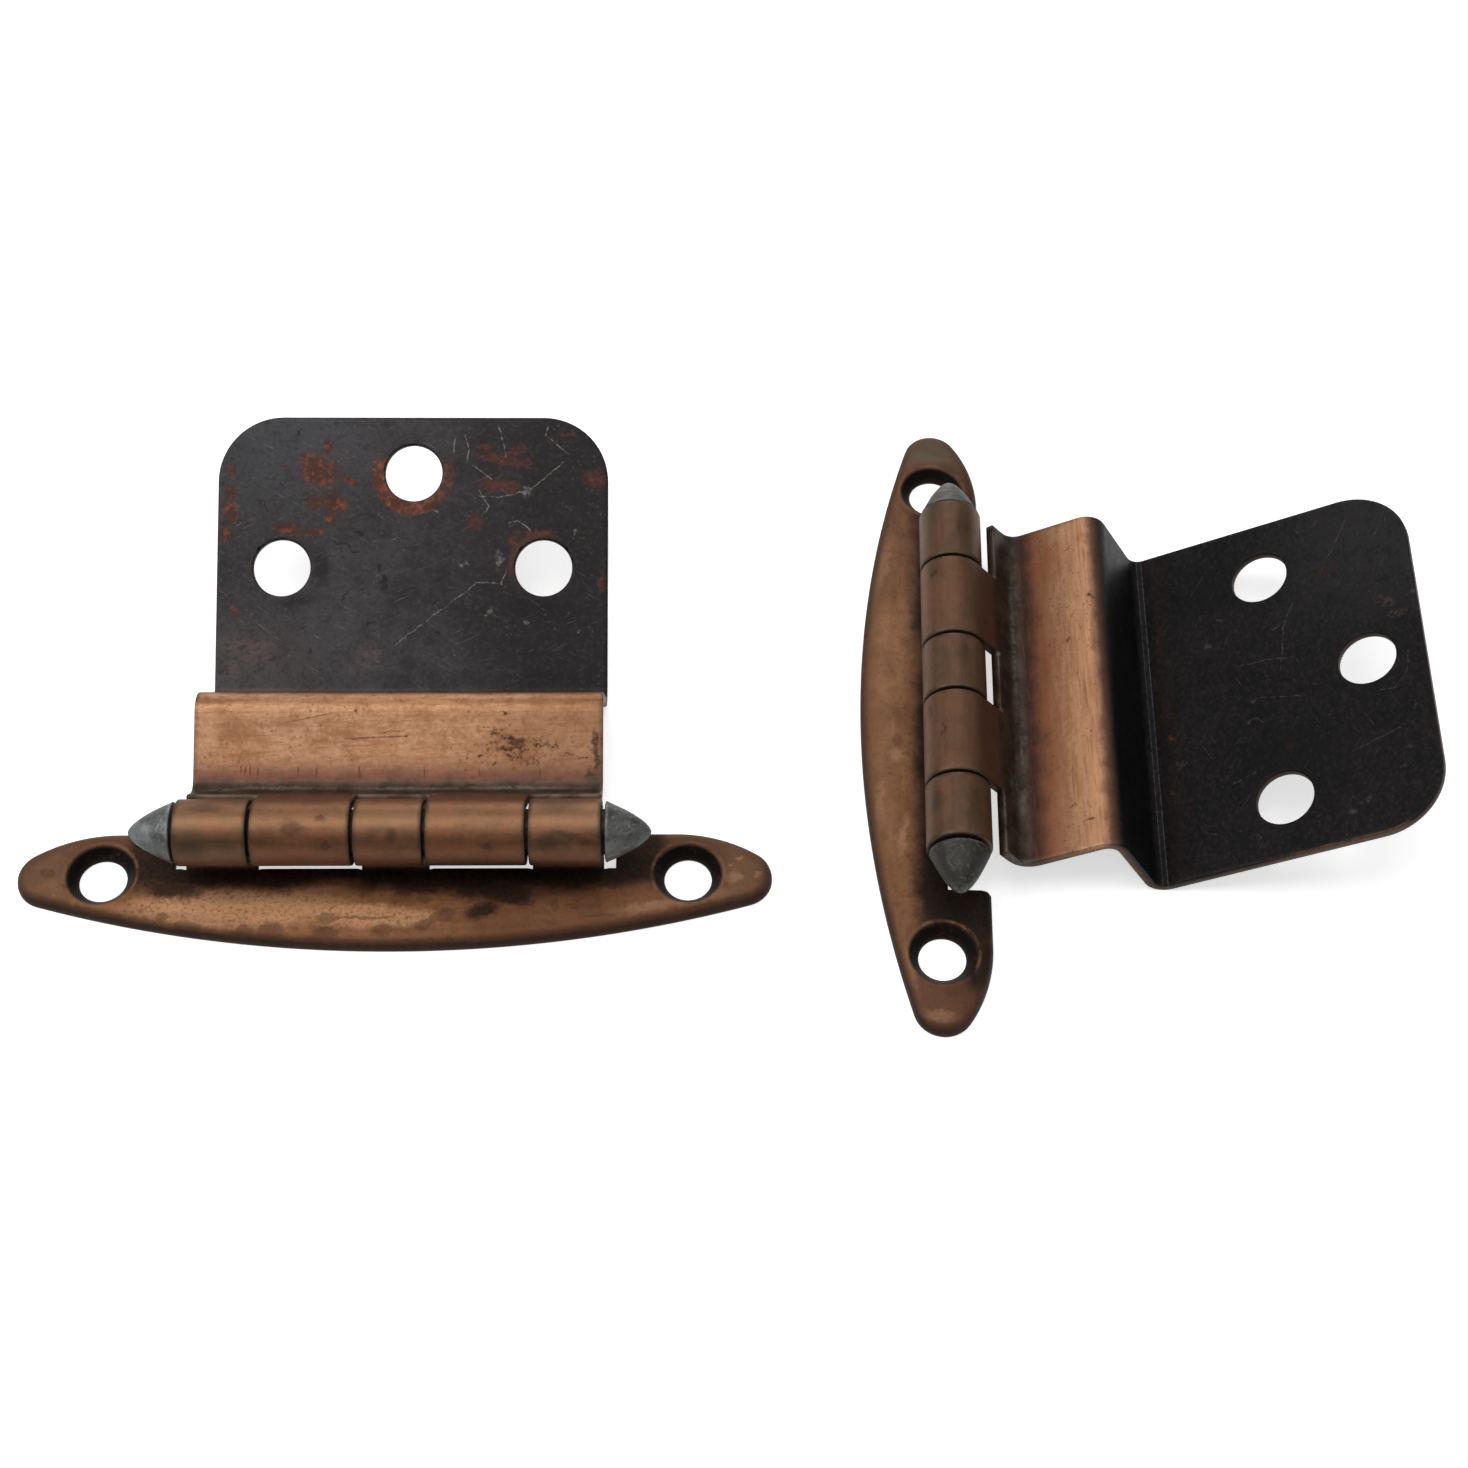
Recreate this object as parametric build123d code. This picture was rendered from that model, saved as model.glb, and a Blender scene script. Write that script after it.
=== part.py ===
from build123d import *
from math import acos, asin, atan2, cos, degrees, hypot, radians, sin, sqrt, tan
import os

# A pair of 3/8 inch inset cabinet hinges, both lying face up on a table.
# Each hinge is built lying down: X along its pin, +Y towards its door leaf, +Z up from the table.
# The pair is then set out as in use on a bench, with the origin under the middle of its bounding box.
# All sizes are millimetres, and all angles are degrees.

# Sheet, pin and fits
sheet = 0.9
pin_diameter = 4.2
running_clearance = 0.05
knuckle_gap = 0.3
finial_gap = 0.3
socket_clearance = 0.01

# Knuckles: two end ones and a middle one on the frame leaf, two between them on the door leaf
end_knuckle = 6.6
door_knuckle = 9.0
middle_knuckle = 6.2
frame_wrap_angle = 285.0
door_wrap_angle = 295.0

# Finials pressed on the ends of the pin
finial_diameter = 5.7
finial_length = 4.2
finial_fullness = 0.6
finial_bands = 4
tenon_diameter = 2.4
tenon_length = 2.0
socket_end_room = 0.2

# Frame leaf: a pressed boat-shaped plate, its reaches measured from the line of the pin
frame_length = 69.85
frame_outer_reach = 8.7
frame_inner_reach = 3.4
frame_inner_shoulder = 14.0
frame_tip_radius = 2.8
frame_tip_offset = 1.25
frame_height = 1.6
frame_edge_bevel = 0.8
pin_height = 6.75
notch_reach = 0.7
notch_end_room = 1.1
strap_bend = 0.8
strap_root = 1.3

# Countersunk screw holes of the frame leaf, dimpled down to the back of the leaf
frame_screw_spacing = 54.2
frame_screw_reach = 1.3
frame_screw_hole = 4.4
sink_diameter = 6.4
sink_land = 0.35
dimple_wall = 0.7

# Door leaf: lip, band, step and plate, folded from one sheet
barrel_overhang = 0.2
lip_lean_angle = 10.5
lip_rise = 2.8
valley_bend = 1.4
band_front_height = 1.4
band_reach = 13.5
inset_depth = 9.525
step_bend = 1.1
plate_corner = 6.35
plate_hole = 5.6
plate_pair_spacing = 25.6
step_to_pair = 12.9
pair_to_single = 9.4
single_to_end = 5.55

# Where the right hinge lies, seen from the middle of the left hinge's pin
right_across = 52.5
right_along = 17.25
right_turn_angle = -91.7

# Worked out from the sizes above
bore_radius = pin_diameter / 2 + running_clearance
knuckle_radius = bore_radius + sheet
barrel_length = 2 * end_knuckle + 2 * door_knuckle + middle_knuckle + 4 * knuckle_gap
barrel_end = barrel_length / 2
door_width = barrel_length - 2 * barrel_overhang
end_knuckle_start = barrel_end - end_knuckle
door_knuckle_start = middle_knuckle / 2 + knuckle_gap
notch_end = barrel_end + notch_end_room
band_front = band_front_height - pin_height
plate_front = band_front - inset_depth
step_outer_bend = step_bend + sheet
plate_pair_reach = band_reach + step_to_pair
plate_single_reach = plate_pair_reach + pair_to_single
plate_reach = plate_single_reach + single_to_end


def polar(radius, angle):
    return (radius * cos(radians(angle)), radius * sin(radians(angle)))


def step_point(start, distance, angle):
    """The point at a distance from start, in the direction of an angle."""
    return (start[0] + distance * cos(radians(angle)), start[1] + distance * sin(radians(angle)))


def bend_face(front, front_radii, back, back_radii):
    """The cross-section of a folded sheet, from the corners of its two sides."""
    front_side = FilletPolyline(*front, radius=front_radii)
    back_side = FilletPolyline(*back, radius=back_radii)
    ends = [Line(front[0], back[0]), Line(front[-1], back[-1])]
    return make_face(front_side.edges() + back_side.edges() + ends)


def curl_face(start_angle, wrap):
    """The cross-section of a rolled knuckle, from where its sheet leaves the leaf."""
    middle_angle = start_angle + wrap / 2
    end_angle = start_angle + wrap
    outer = ThreePointArc(
        polar(knuckle_radius, start_angle), polar(knuckle_radius, middle_angle), polar(knuckle_radius, end_angle)
    )
    inner = ThreePointArc(
        polar(bore_radius, start_angle), polar(bore_radius, middle_angle), polar(bore_radius, end_angle)
    )
    root = Line(polar(bore_radius, start_angle), polar(knuckle_radius, start_angle))
    seam = Line(polar(bore_radius, end_angle), polar(knuckle_radius, end_angle))
    return make_face([outer, inner, root, seam])


def along_pin(face, start, length):
    """Extrudes a cross-section drawn in Y and Z, from start along the pin."""
    section = Plane(origin=(start, 0, 0), x_dir=(0, 1, 0), z_dir=(1, 0, 0)) * face
    return extrude(section, amount=length)


def direction(start, end):
    return degrees(atan2(end[1] - start[1], end[0] - start[0]))


def arc_about(centre, radius, start_angle, end_angle):
    middle_angle = (start_angle + end_angle) / 2
    start = step_point(centre, radius, start_angle)
    middle = step_point(centre, radius, middle_angle)
    end = step_point(centre, radius, end_angle)
    return ThreePointArc(start, middle, end)


def frame_outline():
    """The whole boat shape, before its notch: arcs that run into each other without a corner."""
    tip = (frame_length / 2 - frame_tip_radius, -frame_tip_offset)
    bulge = frame_outer_reach - frame_tip_offset
    outer_radius = (tip[0] ** 2 + bulge**2 - frame_tip_radius**2) / (2 * (bulge - frame_tip_radius))
    outer = (0, outer_radius - frame_outer_reach)
    inner_y = frame_inner_reach - frame_inner_shoulder
    inner_x = tip[0] - sqrt((frame_inner_shoulder - frame_tip_radius) ** 2 - (tip[1] - inner_y) ** 2)
    inner_shoulder = (inner_x, inner_y)
    tip_start = direction(outer, tip)
    tip_end = direction(inner_shoulder, tip)
    half = [
        arc_about(outer, outer_radius, -90, tip_start),
        arc_about(tip, frame_tip_radius, tip_start, tip_end),
        arc_about(inner_shoulder, frame_inner_shoulder, tip_end, 90),
        Line((inner_x, frame_inner_reach), (0, frame_inner_reach)),
    ]
    other_half = [mirror(edge, about=Plane.YZ) for edge in half]
    return make_face(half + other_half)


def frame_shell():
    """The pressed plate with its turned-down rim, hollow underneath."""
    outline = frame_outline()
    blank = extrude(outline, amount=frame_height)
    rim = blank.faces().sort_by(Axis.Z)[-1].edges()
    blank = chamfer(rim, frame_edge_bevel)
    hollow = extrude(offset(outline, amount=-sheet), amount=frame_height - sheet)
    return blank - hollow


def screw_dimple():
    """The pressed cone around a frame screw hole, reaching the back of the leaf."""
    flare = (sink_diameter - frame_screw_hole) / 2 / (frame_height - sink_land)
    foot = frame_screw_hole / 2 + dimple_wall
    height = frame_height - sheet / 2
    cone = Cone(foot, foot + flare * height, height, align=(Align.CENTER, Align.CENTER, Align.MIN))
    return cone


def screw_cut():
    """The through hole and countersink of a frame screw."""
    floor = (Align.CENTER, Align.CENTER, Align.MIN)
    hole = Cylinder(frame_screw_hole / 2, frame_height, align=floor)
    sink = Cone(frame_screw_hole / 2, sink_diameter / 2, frame_height - sink_land, align=floor)
    return hole + Pos(0, 0, sink_land) * sink


def frame_strap_faces():
    """The cross-sections of a strap, from the leaf up behind the barrel, and of its rolled knuckle."""
    foot_front = (-notch_reach, frame_height - pin_height)
    slope = direction(foot_front, (0, 0)) - degrees(asin(bore_radius / hypot(*foot_front)))
    normal = slope - 90
    fold = tan(radians(slope / 2))
    foot_back = (foot_front[0] + sheet * fold, foot_front[1] - sheet)
    root_front = (foot_front[0] - strap_root, foot_front[1])
    root_back = (root_front[0], foot_back[1])
    front = [root_front, foot_front, polar(bore_radius, normal)]
    back = [root_back, foot_back, polar(knuckle_radius, normal)]
    strap = bend_face(front, [strap_bend], back, [strap_bend + sheet])
    return [strap, curl_face(normal, frame_wrap_angle)]


def frame_leaf():
    """Boat-shaped leaf with three knuckles, lying on its back at table height."""
    leaf = frame_shell()
    for side in (-1, 1):
        leaf += Pos(side * frame_screw_spacing / 2, -frame_screw_reach, 0) * screw_dimple()
    notch_depth = notch_reach + frame_inner_reach
    notch = Box(2 * notch_end, notch_depth, 2 * frame_height, align=(Align.CENTER, Align.MIN, Align.CENTER))
    leaf -= Pos(0, -notch_reach, 0) * notch
    for side in (-1, 1):
        leaf -= Pos(side * frame_screw_spacing / 2, -frame_screw_reach, 0) * screw_cut()
    spans = [
        (-barrel_end, end_knuckle),
        (-middle_knuckle / 2, middle_knuckle),
        (end_knuckle_start, end_knuckle),
    ]
    for start, length in spans:
        for face in frame_strap_faces():
            leaf += Pos(0, 0, pin_height) * along_pin(face, start, length)
    return leaf


def lip_point(radius, height):
    """A point of the lip's side that is tangent to a circle about the pin, at a height."""
    return ((radius - height * sin(radians(lip_lean_angle))) / cos(radians(lip_lean_angle)), height)


def lip_top(radius):
    """The corner of the lip's top edge, square across the sheet."""
    outer_top = lip_point(knuckle_radius, band_front + lip_rise)
    return step_point(outer_top, radius - knuckle_radius, lip_lean_angle)


def door_fold_face():
    """The cross-section of the folded sheet from the lip's top edge to the far end of the plate."""
    band_back = band_front - sheet
    front = [
        lip_top(knuckle_radius),
        lip_point(knuckle_radius, band_front),
        (band_reach, band_front),
        (band_reach, plate_front),
        (plate_reach, plate_front),
    ]
    back = [
        lip_top(bore_radius),
        lip_point(bore_radius, band_back),
        (band_reach - sheet, band_back),
        (band_reach - sheet, plate_front - sheet),
        (plate_reach, plate_front - sheet),
    ]
    front_radii = [valley_bend, step_outer_bend, step_bend]
    back_radii = [valley_bend + sheet, step_bend, step_outer_bend]
    return bend_face(front, front_radii, back, back_radii)


def door_knuckle_faces():
    """The cross-sections of a door knuckle and of the neck that joins it to the lip."""
    neck_corners = [
        polar(knuckle_radius, lip_lean_angle),
        lip_top(knuckle_radius),
        lip_top(bore_radius),
        polar(bore_radius, lip_lean_angle),
    ]
    neck = make_face(Polyline(*neck_corners, close=True).edges())
    return [curl_face(lip_lean_angle, door_wrap_angle), neck]


def plate_screw_places():
    """The middles of the three holes, as places along the pin and away from it."""
    return [
        (-plate_pair_spacing / 2, plate_pair_reach),
        (plate_pair_spacing / 2, plate_pair_reach),
        (0, plate_single_reach),
    ]


def door_leaf_closed():
    """Folded leaf with two knuckles, about the pin's axis, in line with the frame leaf as when closed."""
    leaf = along_pin(door_fold_face(), -door_width / 2, door_width)
    corners = leaf.edges().filter_by(Axis.Z).group_by(Axis.Y)[-1]
    leaf = fillet(corners, plate_corner)
    for across, reach in plate_screw_places():
        leaf -= Pos(across, reach, plate_front) * Cylinder(plate_hole / 2, 4 * sheet)
    for start in (-door_knuckle_start - door_knuckle, door_knuckle_start):
        for face in door_knuckle_faces():
            leaf += along_pin(face, start, door_knuckle)
    return leaf


def rest_opening():
    """How far the hinge is open when the fold at the foot of the step touches the table."""
    reach = band_reach + step_bend
    drop = -(plate_front + step_bend)
    height = pin_height - step_outer_bend
    return degrees(acos(height / hypot(reach, drop)) - atan2(reach, drop))


def door_leaf():
    return Pos(0, 0, pin_height) * Rot(rest_opening(), 0, 0) * door_leaf_closed()


def pin():
    """Plain pin through the barrel, with a thinner tenon at each end for the finials."""
    body = Rot(0, 90, 0) * Cylinder(pin_diameter / 2, barrel_length + 2 * finial_gap)
    tenons = Rot(0, 90, 0) * Cylinder(tenon_diameter / 2, barrel_length + 2 * finial_gap + 2 * tenon_length)
    return Pos(0, 0, pin_height) * (body + tenons)


def finial_profile():
    """Half the bullet's outline: it narrows slowly from its base, then closes round at the tip."""
    points = [(0, 0)]
    for band in range(finial_bands + 1):
        share = sin(radians(90 * band / finial_bands))
        points.append((finial_length * share, finial_diameter / 2 * (1 - share) ** finial_fullness))
    return make_face(Polyline(*points, close=True).edges())


def finial():
    """Turned bullet with its socket towards the barrel, pointing along +X."""
    bullet = revolve(finial_profile(), Axis.X)
    socket_depth = tenon_length + socket_end_room
    socket = Cylinder(tenon_diameter / 2 + socket_clearance, 2 * socket_depth)
    return bullet - Rot(0, 90, 0) * socket


def lower_finial():
    return Pos(barrel_end + finial_gap, 0, pin_height) * finial()


def upper_finial():
    return Pos(-barrel_end - finial_gap, 0, pin_height) * Rot(0, 0, 180) * finial()


def hinge():
    """One whole hinge, as it lies on the table."""
    return {
        "frame_leaf": frame_leaf(),
        "door_leaf": door_leaf(),
        "pin": pin(),
        "upper_finial": upper_finial(),
        "lower_finial": lower_finial(),
    }


def hinge_places():
    """Where each hinge lies, with the middle of the pair over the origin."""
    piece = Compound(children=list(hinge().values()))
    left = Location((0, 0, 0))
    right = Location((right_across, right_along, 0), (0, 0, right_turn_angle))
    box = Compound(children=[left * piece, right * piece]).bounding_box()
    middle = Pos(-box.center().X, -box.center().Y, -box.min.Z)
    return {"left": middle * left, "right": middle * right}


def main():
    os.makedirs("parts", exist_ok=True)
    pieces = hinge()
    for side, place in hinge_places().items():
        for name, piece in pieces.items():
            export_step(place * piece, f"parts/{side}_{name}.step")
        print(side, "hinge at", place.position, place.orientation)
    print("resting open by", round(rest_opening(), 3), "degrees")


main()
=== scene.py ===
from math import acos, asin, atan2, cos, degrees, hypot, pi, radians, sin, sqrt, tan

import bpy
import numpy as np
from mathutils import Matrix, Vector
from mathutils.geometry import delaunay_2d_cdt

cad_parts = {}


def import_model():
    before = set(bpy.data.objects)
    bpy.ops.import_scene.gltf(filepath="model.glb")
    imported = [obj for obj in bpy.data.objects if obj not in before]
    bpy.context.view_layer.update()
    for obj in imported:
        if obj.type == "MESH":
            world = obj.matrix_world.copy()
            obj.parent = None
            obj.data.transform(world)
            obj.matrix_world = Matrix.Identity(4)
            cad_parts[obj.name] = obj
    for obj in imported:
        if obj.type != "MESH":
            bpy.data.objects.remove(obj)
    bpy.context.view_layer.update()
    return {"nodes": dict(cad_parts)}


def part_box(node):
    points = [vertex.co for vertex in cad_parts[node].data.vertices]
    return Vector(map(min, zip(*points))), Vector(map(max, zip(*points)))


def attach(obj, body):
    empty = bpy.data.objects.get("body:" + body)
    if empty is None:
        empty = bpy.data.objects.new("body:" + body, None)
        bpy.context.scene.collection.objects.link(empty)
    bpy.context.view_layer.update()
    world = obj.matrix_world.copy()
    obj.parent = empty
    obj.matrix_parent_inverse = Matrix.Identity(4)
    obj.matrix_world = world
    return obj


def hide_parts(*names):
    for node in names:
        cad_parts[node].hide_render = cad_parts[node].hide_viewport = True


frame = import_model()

MM = 0.001

# Sizes of the hinge, in millimetres and degrees
SHEET = 0.9
BORE = 2.15
KNUCKLE = BORE + SHEET
PIN_HEIGHT = 6.75
END_KNUCKLE = 6.6
DOOR_KNUCKLE = 9.0
MIDDLE_KNUCKLE = 6.2
KNUCKLE_GAP = 0.3
FINIAL_GAP = 0.3
FINIAL_RADIUS = 2.85
FINIAL_LENGTH = 4.2
FINIAL_FULLNESS = 0.6
BARREL_END = END_KNUCKLE + DOOR_KNUCKLE + MIDDLE_KNUCKLE / 2 + 2 * KNUCKLE_GAP
FRAME_WRAP = 285.0
DOOR_WRAP = 295.0
FRAME_LENGTH = 69.85
FRAME_OUTER = 8.7
FRAME_INNER = 3.4
SHOULDER = 14.0
TIP_RADIUS = 2.8
TIP_OFFSET = 1.25
FRAME_HEIGHT = 1.6
RIM_ROUND = 1.15
NOTCH = 0.7
NOTCH_END = BARREL_END + 1.1
STRAP_BEND = 0.8
SCREW_SPACING = 54.2
SCREW_REACH = 1.3
SCREW_HOLE = 2.2
SINK = 3.2
SINK_LAND = 0.35
DIMPLE_WALL = 0.7
DOOR_HALF = 19.1
LIP_LEAN = 10.5
LIP_RISE = 2.8
VALLEY_BEND = 1.4
BAND_FRONT = 1.4 - PIN_HEIGHT
BAND_REACH = 13.5
PLATE_FRONT = BAND_FRONT - 9.525
STEP_BEND = 1.1
PLATE_PAIR = BAND_REACH + 12.9
PLATE_SINGLE = PLATE_PAIR + 9.4
PLATE_REACH = PLATE_SINGLE + 5.55
PLATE_CORNER = 6.35
PLATE_HOLE = 2.8
PAIR_HALF = 12.8
REST_OPENING = degrees(
    acos((PIN_HEIGHT - STEP_BEND - SHEET) / hypot(BAND_REACH + STEP_BEND, -PLATE_FRONT - STEP_BEND))
    - atan2(BAND_REACH + STEP_BEND, -PLATE_FRONT - STEP_BEND)
)
EDGE_ROUND = 0.13

# The right hinge is turned from the left one's direction
RIGHT_TURN = -91.7

# How finely the meshes are drawn, in millimetres
GRID = 0.5
EDGE_STEP = 0.45
BOAT_STEP = 0.4
FRAME_GRID = ((-35, 35), (-9, 3.5))
HOLE_ROW = 0.3
CLEAR_OF_EDGE = 0.09
RIM_ROWS = (0.1, 0.22, 0.38, 0.58, 0.85, 1.1, 1.4)
RIM_ZONE = 1.65
SINK_ROWS = (2.35, 2.6, 2.85, 3.05, 3.2, 3.38, 3.6)
SINK_ZONE = 3.8
SINK_SOFTNESS = 0.16
WALL_SLOPE = 0.12
DIMPLE_SLOPE = 0.56

# How finely bends and circles are drawn: degrees a step, and sides
WRAP_STEP = 6
BEND_STEP = 9
PLATE_HOLE_SIDES = 72
SCREW_HOLE_SIDES = 64
FINIAL_SIDES = 72
FINIAL_ROWS = 30

# The floor, the lamps and the camera
FLOOR_HALF = 1.5
FLOOR_TONE = 0.8
FLOOR_SEEN = 0.6
FLOOR_MIRRORED = 0.32
FLOOR_MELTS = (0.3, 0.9)
WORLD_LIGHT = 0.15
LAMP_SIZE = 0.5
LAMPS = (
    ("top", (0, 0, 0.9), 2.2),
    ("front", (0, -0.5, 0.75), 0.8),
    ("back", (0, 0.85, 0.35), 2.4),
    ("left", (-0.6, 0, 0.65), 3.4),
    ("right", (0.6, 0, 0.65), 1.2),
)
PICTURE = 1468
FOCAL = 2536.0
PICTURE_MIDDLE = (775.3, 675.45)
SENSOR = 36
CAMERA_PLACE = (29.56, -121.80, 204.77)
CAMERA_AXES = ((0.99971, -0.01440, 0.01923), (-0.00072, -0.81798, -0.57524), (0.02401, 0.57506, -0.81776))


def place_of(side):
    """The matrix that sets a hinge drawn about its own pin in its place, from the pin's own box."""
    low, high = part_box(side + "_pin")
    middle = (low + high) / 2
    turn = RIGHT_TURN if side == "right" else 0.0
    return Matrix.Translation((middle.x, middle.y, 0)) @ Matrix.Rotation(radians(turn), 4, "Z")


def leaf_turn():
    """From the closed leaf's own frame about the pin to where it rests, open."""
    return Matrix.Translation((0, 0, PIN_HEIGHT * MM)) @ Matrix.Rotation(radians(REST_OPENING), 4, "X")


def polar(radius, angle):
    return np.array([radius * cos(radians(angle)), radius * sin(radians(angle))])


def spread(start, end, step):
    """Numbers from start to end, both included, about a step apart."""
    count = max(1, int(round(abs(end - start) / step)))
    return list(np.linspace(start, end, count + 1))


def add_object(name, data):
    made = bpy.data.objects.new(name, data)
    bpy.context.scene.collection.objects.link(made)
    return made


def add_layer(mesh, key, values):
    mesh.attributes.new(key, "FLOAT", "POINT").data.foreach_set("value", values)


# Folded sheet: pairs of points on its two faces, along the fold


class Fold:
    """The cross-section of a folded sheet, as matching points on its two faces and the length so far."""

    def __init__(self, front, back):
        self.front = [np.array(front, float)]
        self.back = [np.array(back, float)]
        self.length = [0.0]

    def add(self, front, back):
        front = np.array(front, float)
        back = np.array(back, float)
        before = (self.front[-1] + self.back[-1]) / 2
        self.length.append(self.length[-1] + float(np.linalg.norm((front + back) / 2 - before)))
        self.front.append(front)
        self.back.append(back)

    def straight(self, front, back, step):
        start_front = self.front[-1]
        start_back = self.back[-1]
        count = max(1, int(round(np.linalg.norm(np.array(front) - start_front) / step)))
        for i in range(1, count + 1):
            share = i / count
            self.add(
                start_front + (np.array(front) - start_front) * share,
                start_back + (np.array(back) - start_back) * share,
            )

    def arc(self, centre, front_radius, back_radius, start, end, step):
        count = max(2, int(round(abs(end - start) / step)))
        for i in range(1, count + 1):
            angle = start + (end - start) * i / count
            self.add(
                np.array(centre) + polar(front_radius, angle), np.array(centre) + polar(back_radius, angle)
            )

    def at(self, length, face):
        points = np.array(self.front if face == "front" else self.back)
        return np.stack([np.interp(length, self.length, points[:, i]) for i in (0, 1)], -1)


def door_fold():
    """From the knuckle's seam round the pin, down the lip, over the band and down to the plate's end."""
    lean = radians(LIP_LEAN)

    def lip(radius, height):
        return np.array([(radius - height * sin(lean)) / cos(lean), height])

    top_front = lip(KNUCKLE, BAND_FRONT + LIP_RISE)
    top_back = top_front - SHEET * np.array([cos(lean), sin(lean)])
    seam = LIP_LEAN + DOOR_WRAP
    fold = Fold(polar(KNUCKLE, seam), polar(BORE, seam))
    fold.arc((0, 0), KNUCKLE, BORE, seam, LIP_LEAN, WRAP_STEP)
    marks = {"neck": fold.length[-1]}
    fold.straight(top_front, top_back, 0.5)
    marks["lip"] = fold.length[-1]
    # The lip meets the band in the valley: the bend's centre is on the front side
    angle = 180 + LIP_LEAN
    valley_y = BAND_FRONT + VALLEY_BEND
    valley_x = lip(KNUCKLE + VALLEY_BEND, valley_y)[0]
    centre = (valley_x, valley_y)
    fold.straight(centre + polar(VALLEY_BEND, angle), centre + polar(VALLEY_BEND + SHEET, angle), 0.4)
    fold.arc(centre, VALLEY_BEND, VALLEY_BEND + SHEET, angle, 270, BEND_STEP)
    marks["valley"] = fold.length[-1]
    outer = STEP_BEND + SHEET
    centre = (BAND_REACH - outer, BAND_FRONT - outer)
    fold.straight(centre + polar(outer, 90), centre + polar(STEP_BEND, 90), 0.45)
    marks["brow"] = fold.length[-1]
    fold.arc(centre, outer, STEP_BEND, 90, 0, BEND_STEP)
    centre = (BAND_REACH + STEP_BEND, PLATE_FRONT + STEP_BEND)
    fold.straight(centre + polar(STEP_BEND, 180), centre + polar(outer, 180), 0.45)
    marks["foot"] = fold.length[-1]
    fold.arc(centre, STEP_BEND, outer, 180, 270, BEND_STEP)
    marks["plate"] = fold.length[-1]
    fold.straight((PLATE_REACH, PLATE_FRONT), (PLATE_REACH, PLATE_FRONT - SHEET), 0.5)
    marks["end"] = fold.length[-1]
    return fold, marks


def strap_fold():
    """From the flat of the frame leaf up behind the barrel and round the pin, to the knuckle's seam."""
    foot = np.array([-NOTCH, FRAME_HEIGHT - PIN_HEIGHT])
    slope = degrees(atan2(-foot[1], -foot[0])) - degrees(asin(BORE / hypot(*foot)))
    normal = slope - 90
    setback = STRAP_BEND * tan(radians(slope / 2))
    start = foot - np.array([setback, 0])
    fold = Fold(start, start - np.array([0, SHEET]))
    centre = start + np.array([0, STRAP_BEND])
    fold.arc(centre, STRAP_BEND, STRAP_BEND + SHEET, 270, 270 + slope, BEND_STEP)
    fold.straight(polar(BORE, normal), polar(KNUCKLE, normal), 0.5)
    fold.arc((0, 0), BORE, KNUCKLE, normal, normal + FRAME_WRAP, WRAP_STEP)
    return fold, -NOTCH - setback


# Flat patterns, triangulated, then bent into solids


def inside(points, loop):
    """Which of many points lie inside a closed loop."""
    x, y = points[:, 0], points[:, 1]
    hit = np.zeros(len(points), bool)
    for (x0, y0), (x1, y1) in zip(loop, np.roll(loop, -1, axis=0)):
        crosses = (y0 > y) != (y1 > y)
        if crosses.any():
            hit ^= crosses & (x < (x1 - x0) * (y - y0) / (y1 - y0 + 1e-30) + x0)
    return hit


def loop_distance(points, loop):
    """Least distance from each point to the closed line through the loop's points."""
    best = np.full(len(points), np.inf)
    for a, b in zip(loop, np.roll(loop, -1, axis=0)):
        d = b - a
        t = np.clip(((points - a) @ d) / (d @ d + 1e-30), 0, 1)
        best = np.minimum(best, np.linalg.norm(points - a - t[:, None] * d, axis=1))
    return best


def triangulate(loops, extra):
    """Triangles of the area inside the first loop and outside the others, through extra points."""
    points, edges = [], []
    for loop in loops:
        first = len(points)
        points += [tuple(p) for p in loop]
        edges += [(first + i, first + (i + 1) % len(loop)) for i in range(len(loop))]
    keep = np.array(extra, float)
    good = inside(keep, loops[0]) & (loop_distance(keep, loops[0]) > CLEAR_OF_EDGE)
    for loop in loops[1:]:
        good &= ~inside(keep, loop) & (loop_distance(keep, loop) > CLEAR_OF_EDGE)
    points += [tuple(p) for p in keep[good]]
    made = delaunay_2d_cdt([Vector(p) for p in points], edges, [], 0, 1e-6)
    vertices = np.array([tuple(v) for v in made[0]])
    triangles = np.array([f for f in made[2] if len(f) == 3])
    middles = vertices[triangles].mean(axis=1)
    good = inside(middles, loops[0])
    for loop in loops[1:]:
        good &= ~inside(middles, loop)
    triangles = triangles[good]
    a, b, c = (vertices[triangles[:, i]] for i in range(3))
    turn = (b[:, 0] - a[:, 0]) * (c[:, 1] - a[:, 1]) - (b[:, 1] - a[:, 1]) * (c[:, 0] - a[:, 0])
    triangles[turn < 0] = triangles[turn < 0][:, ::-1]
    return vertices, triangles[np.abs(turn) > 1e-9]


def boundary(triangles):
    """Edges that only one triangle has, in that triangle's direction."""
    seen = {(int(t[i]), int(t[(i + 1) % 3])): True for t in triangles for i in range(3)}
    return [e for e in seen if (e[1], e[0]) not in seen]


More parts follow.
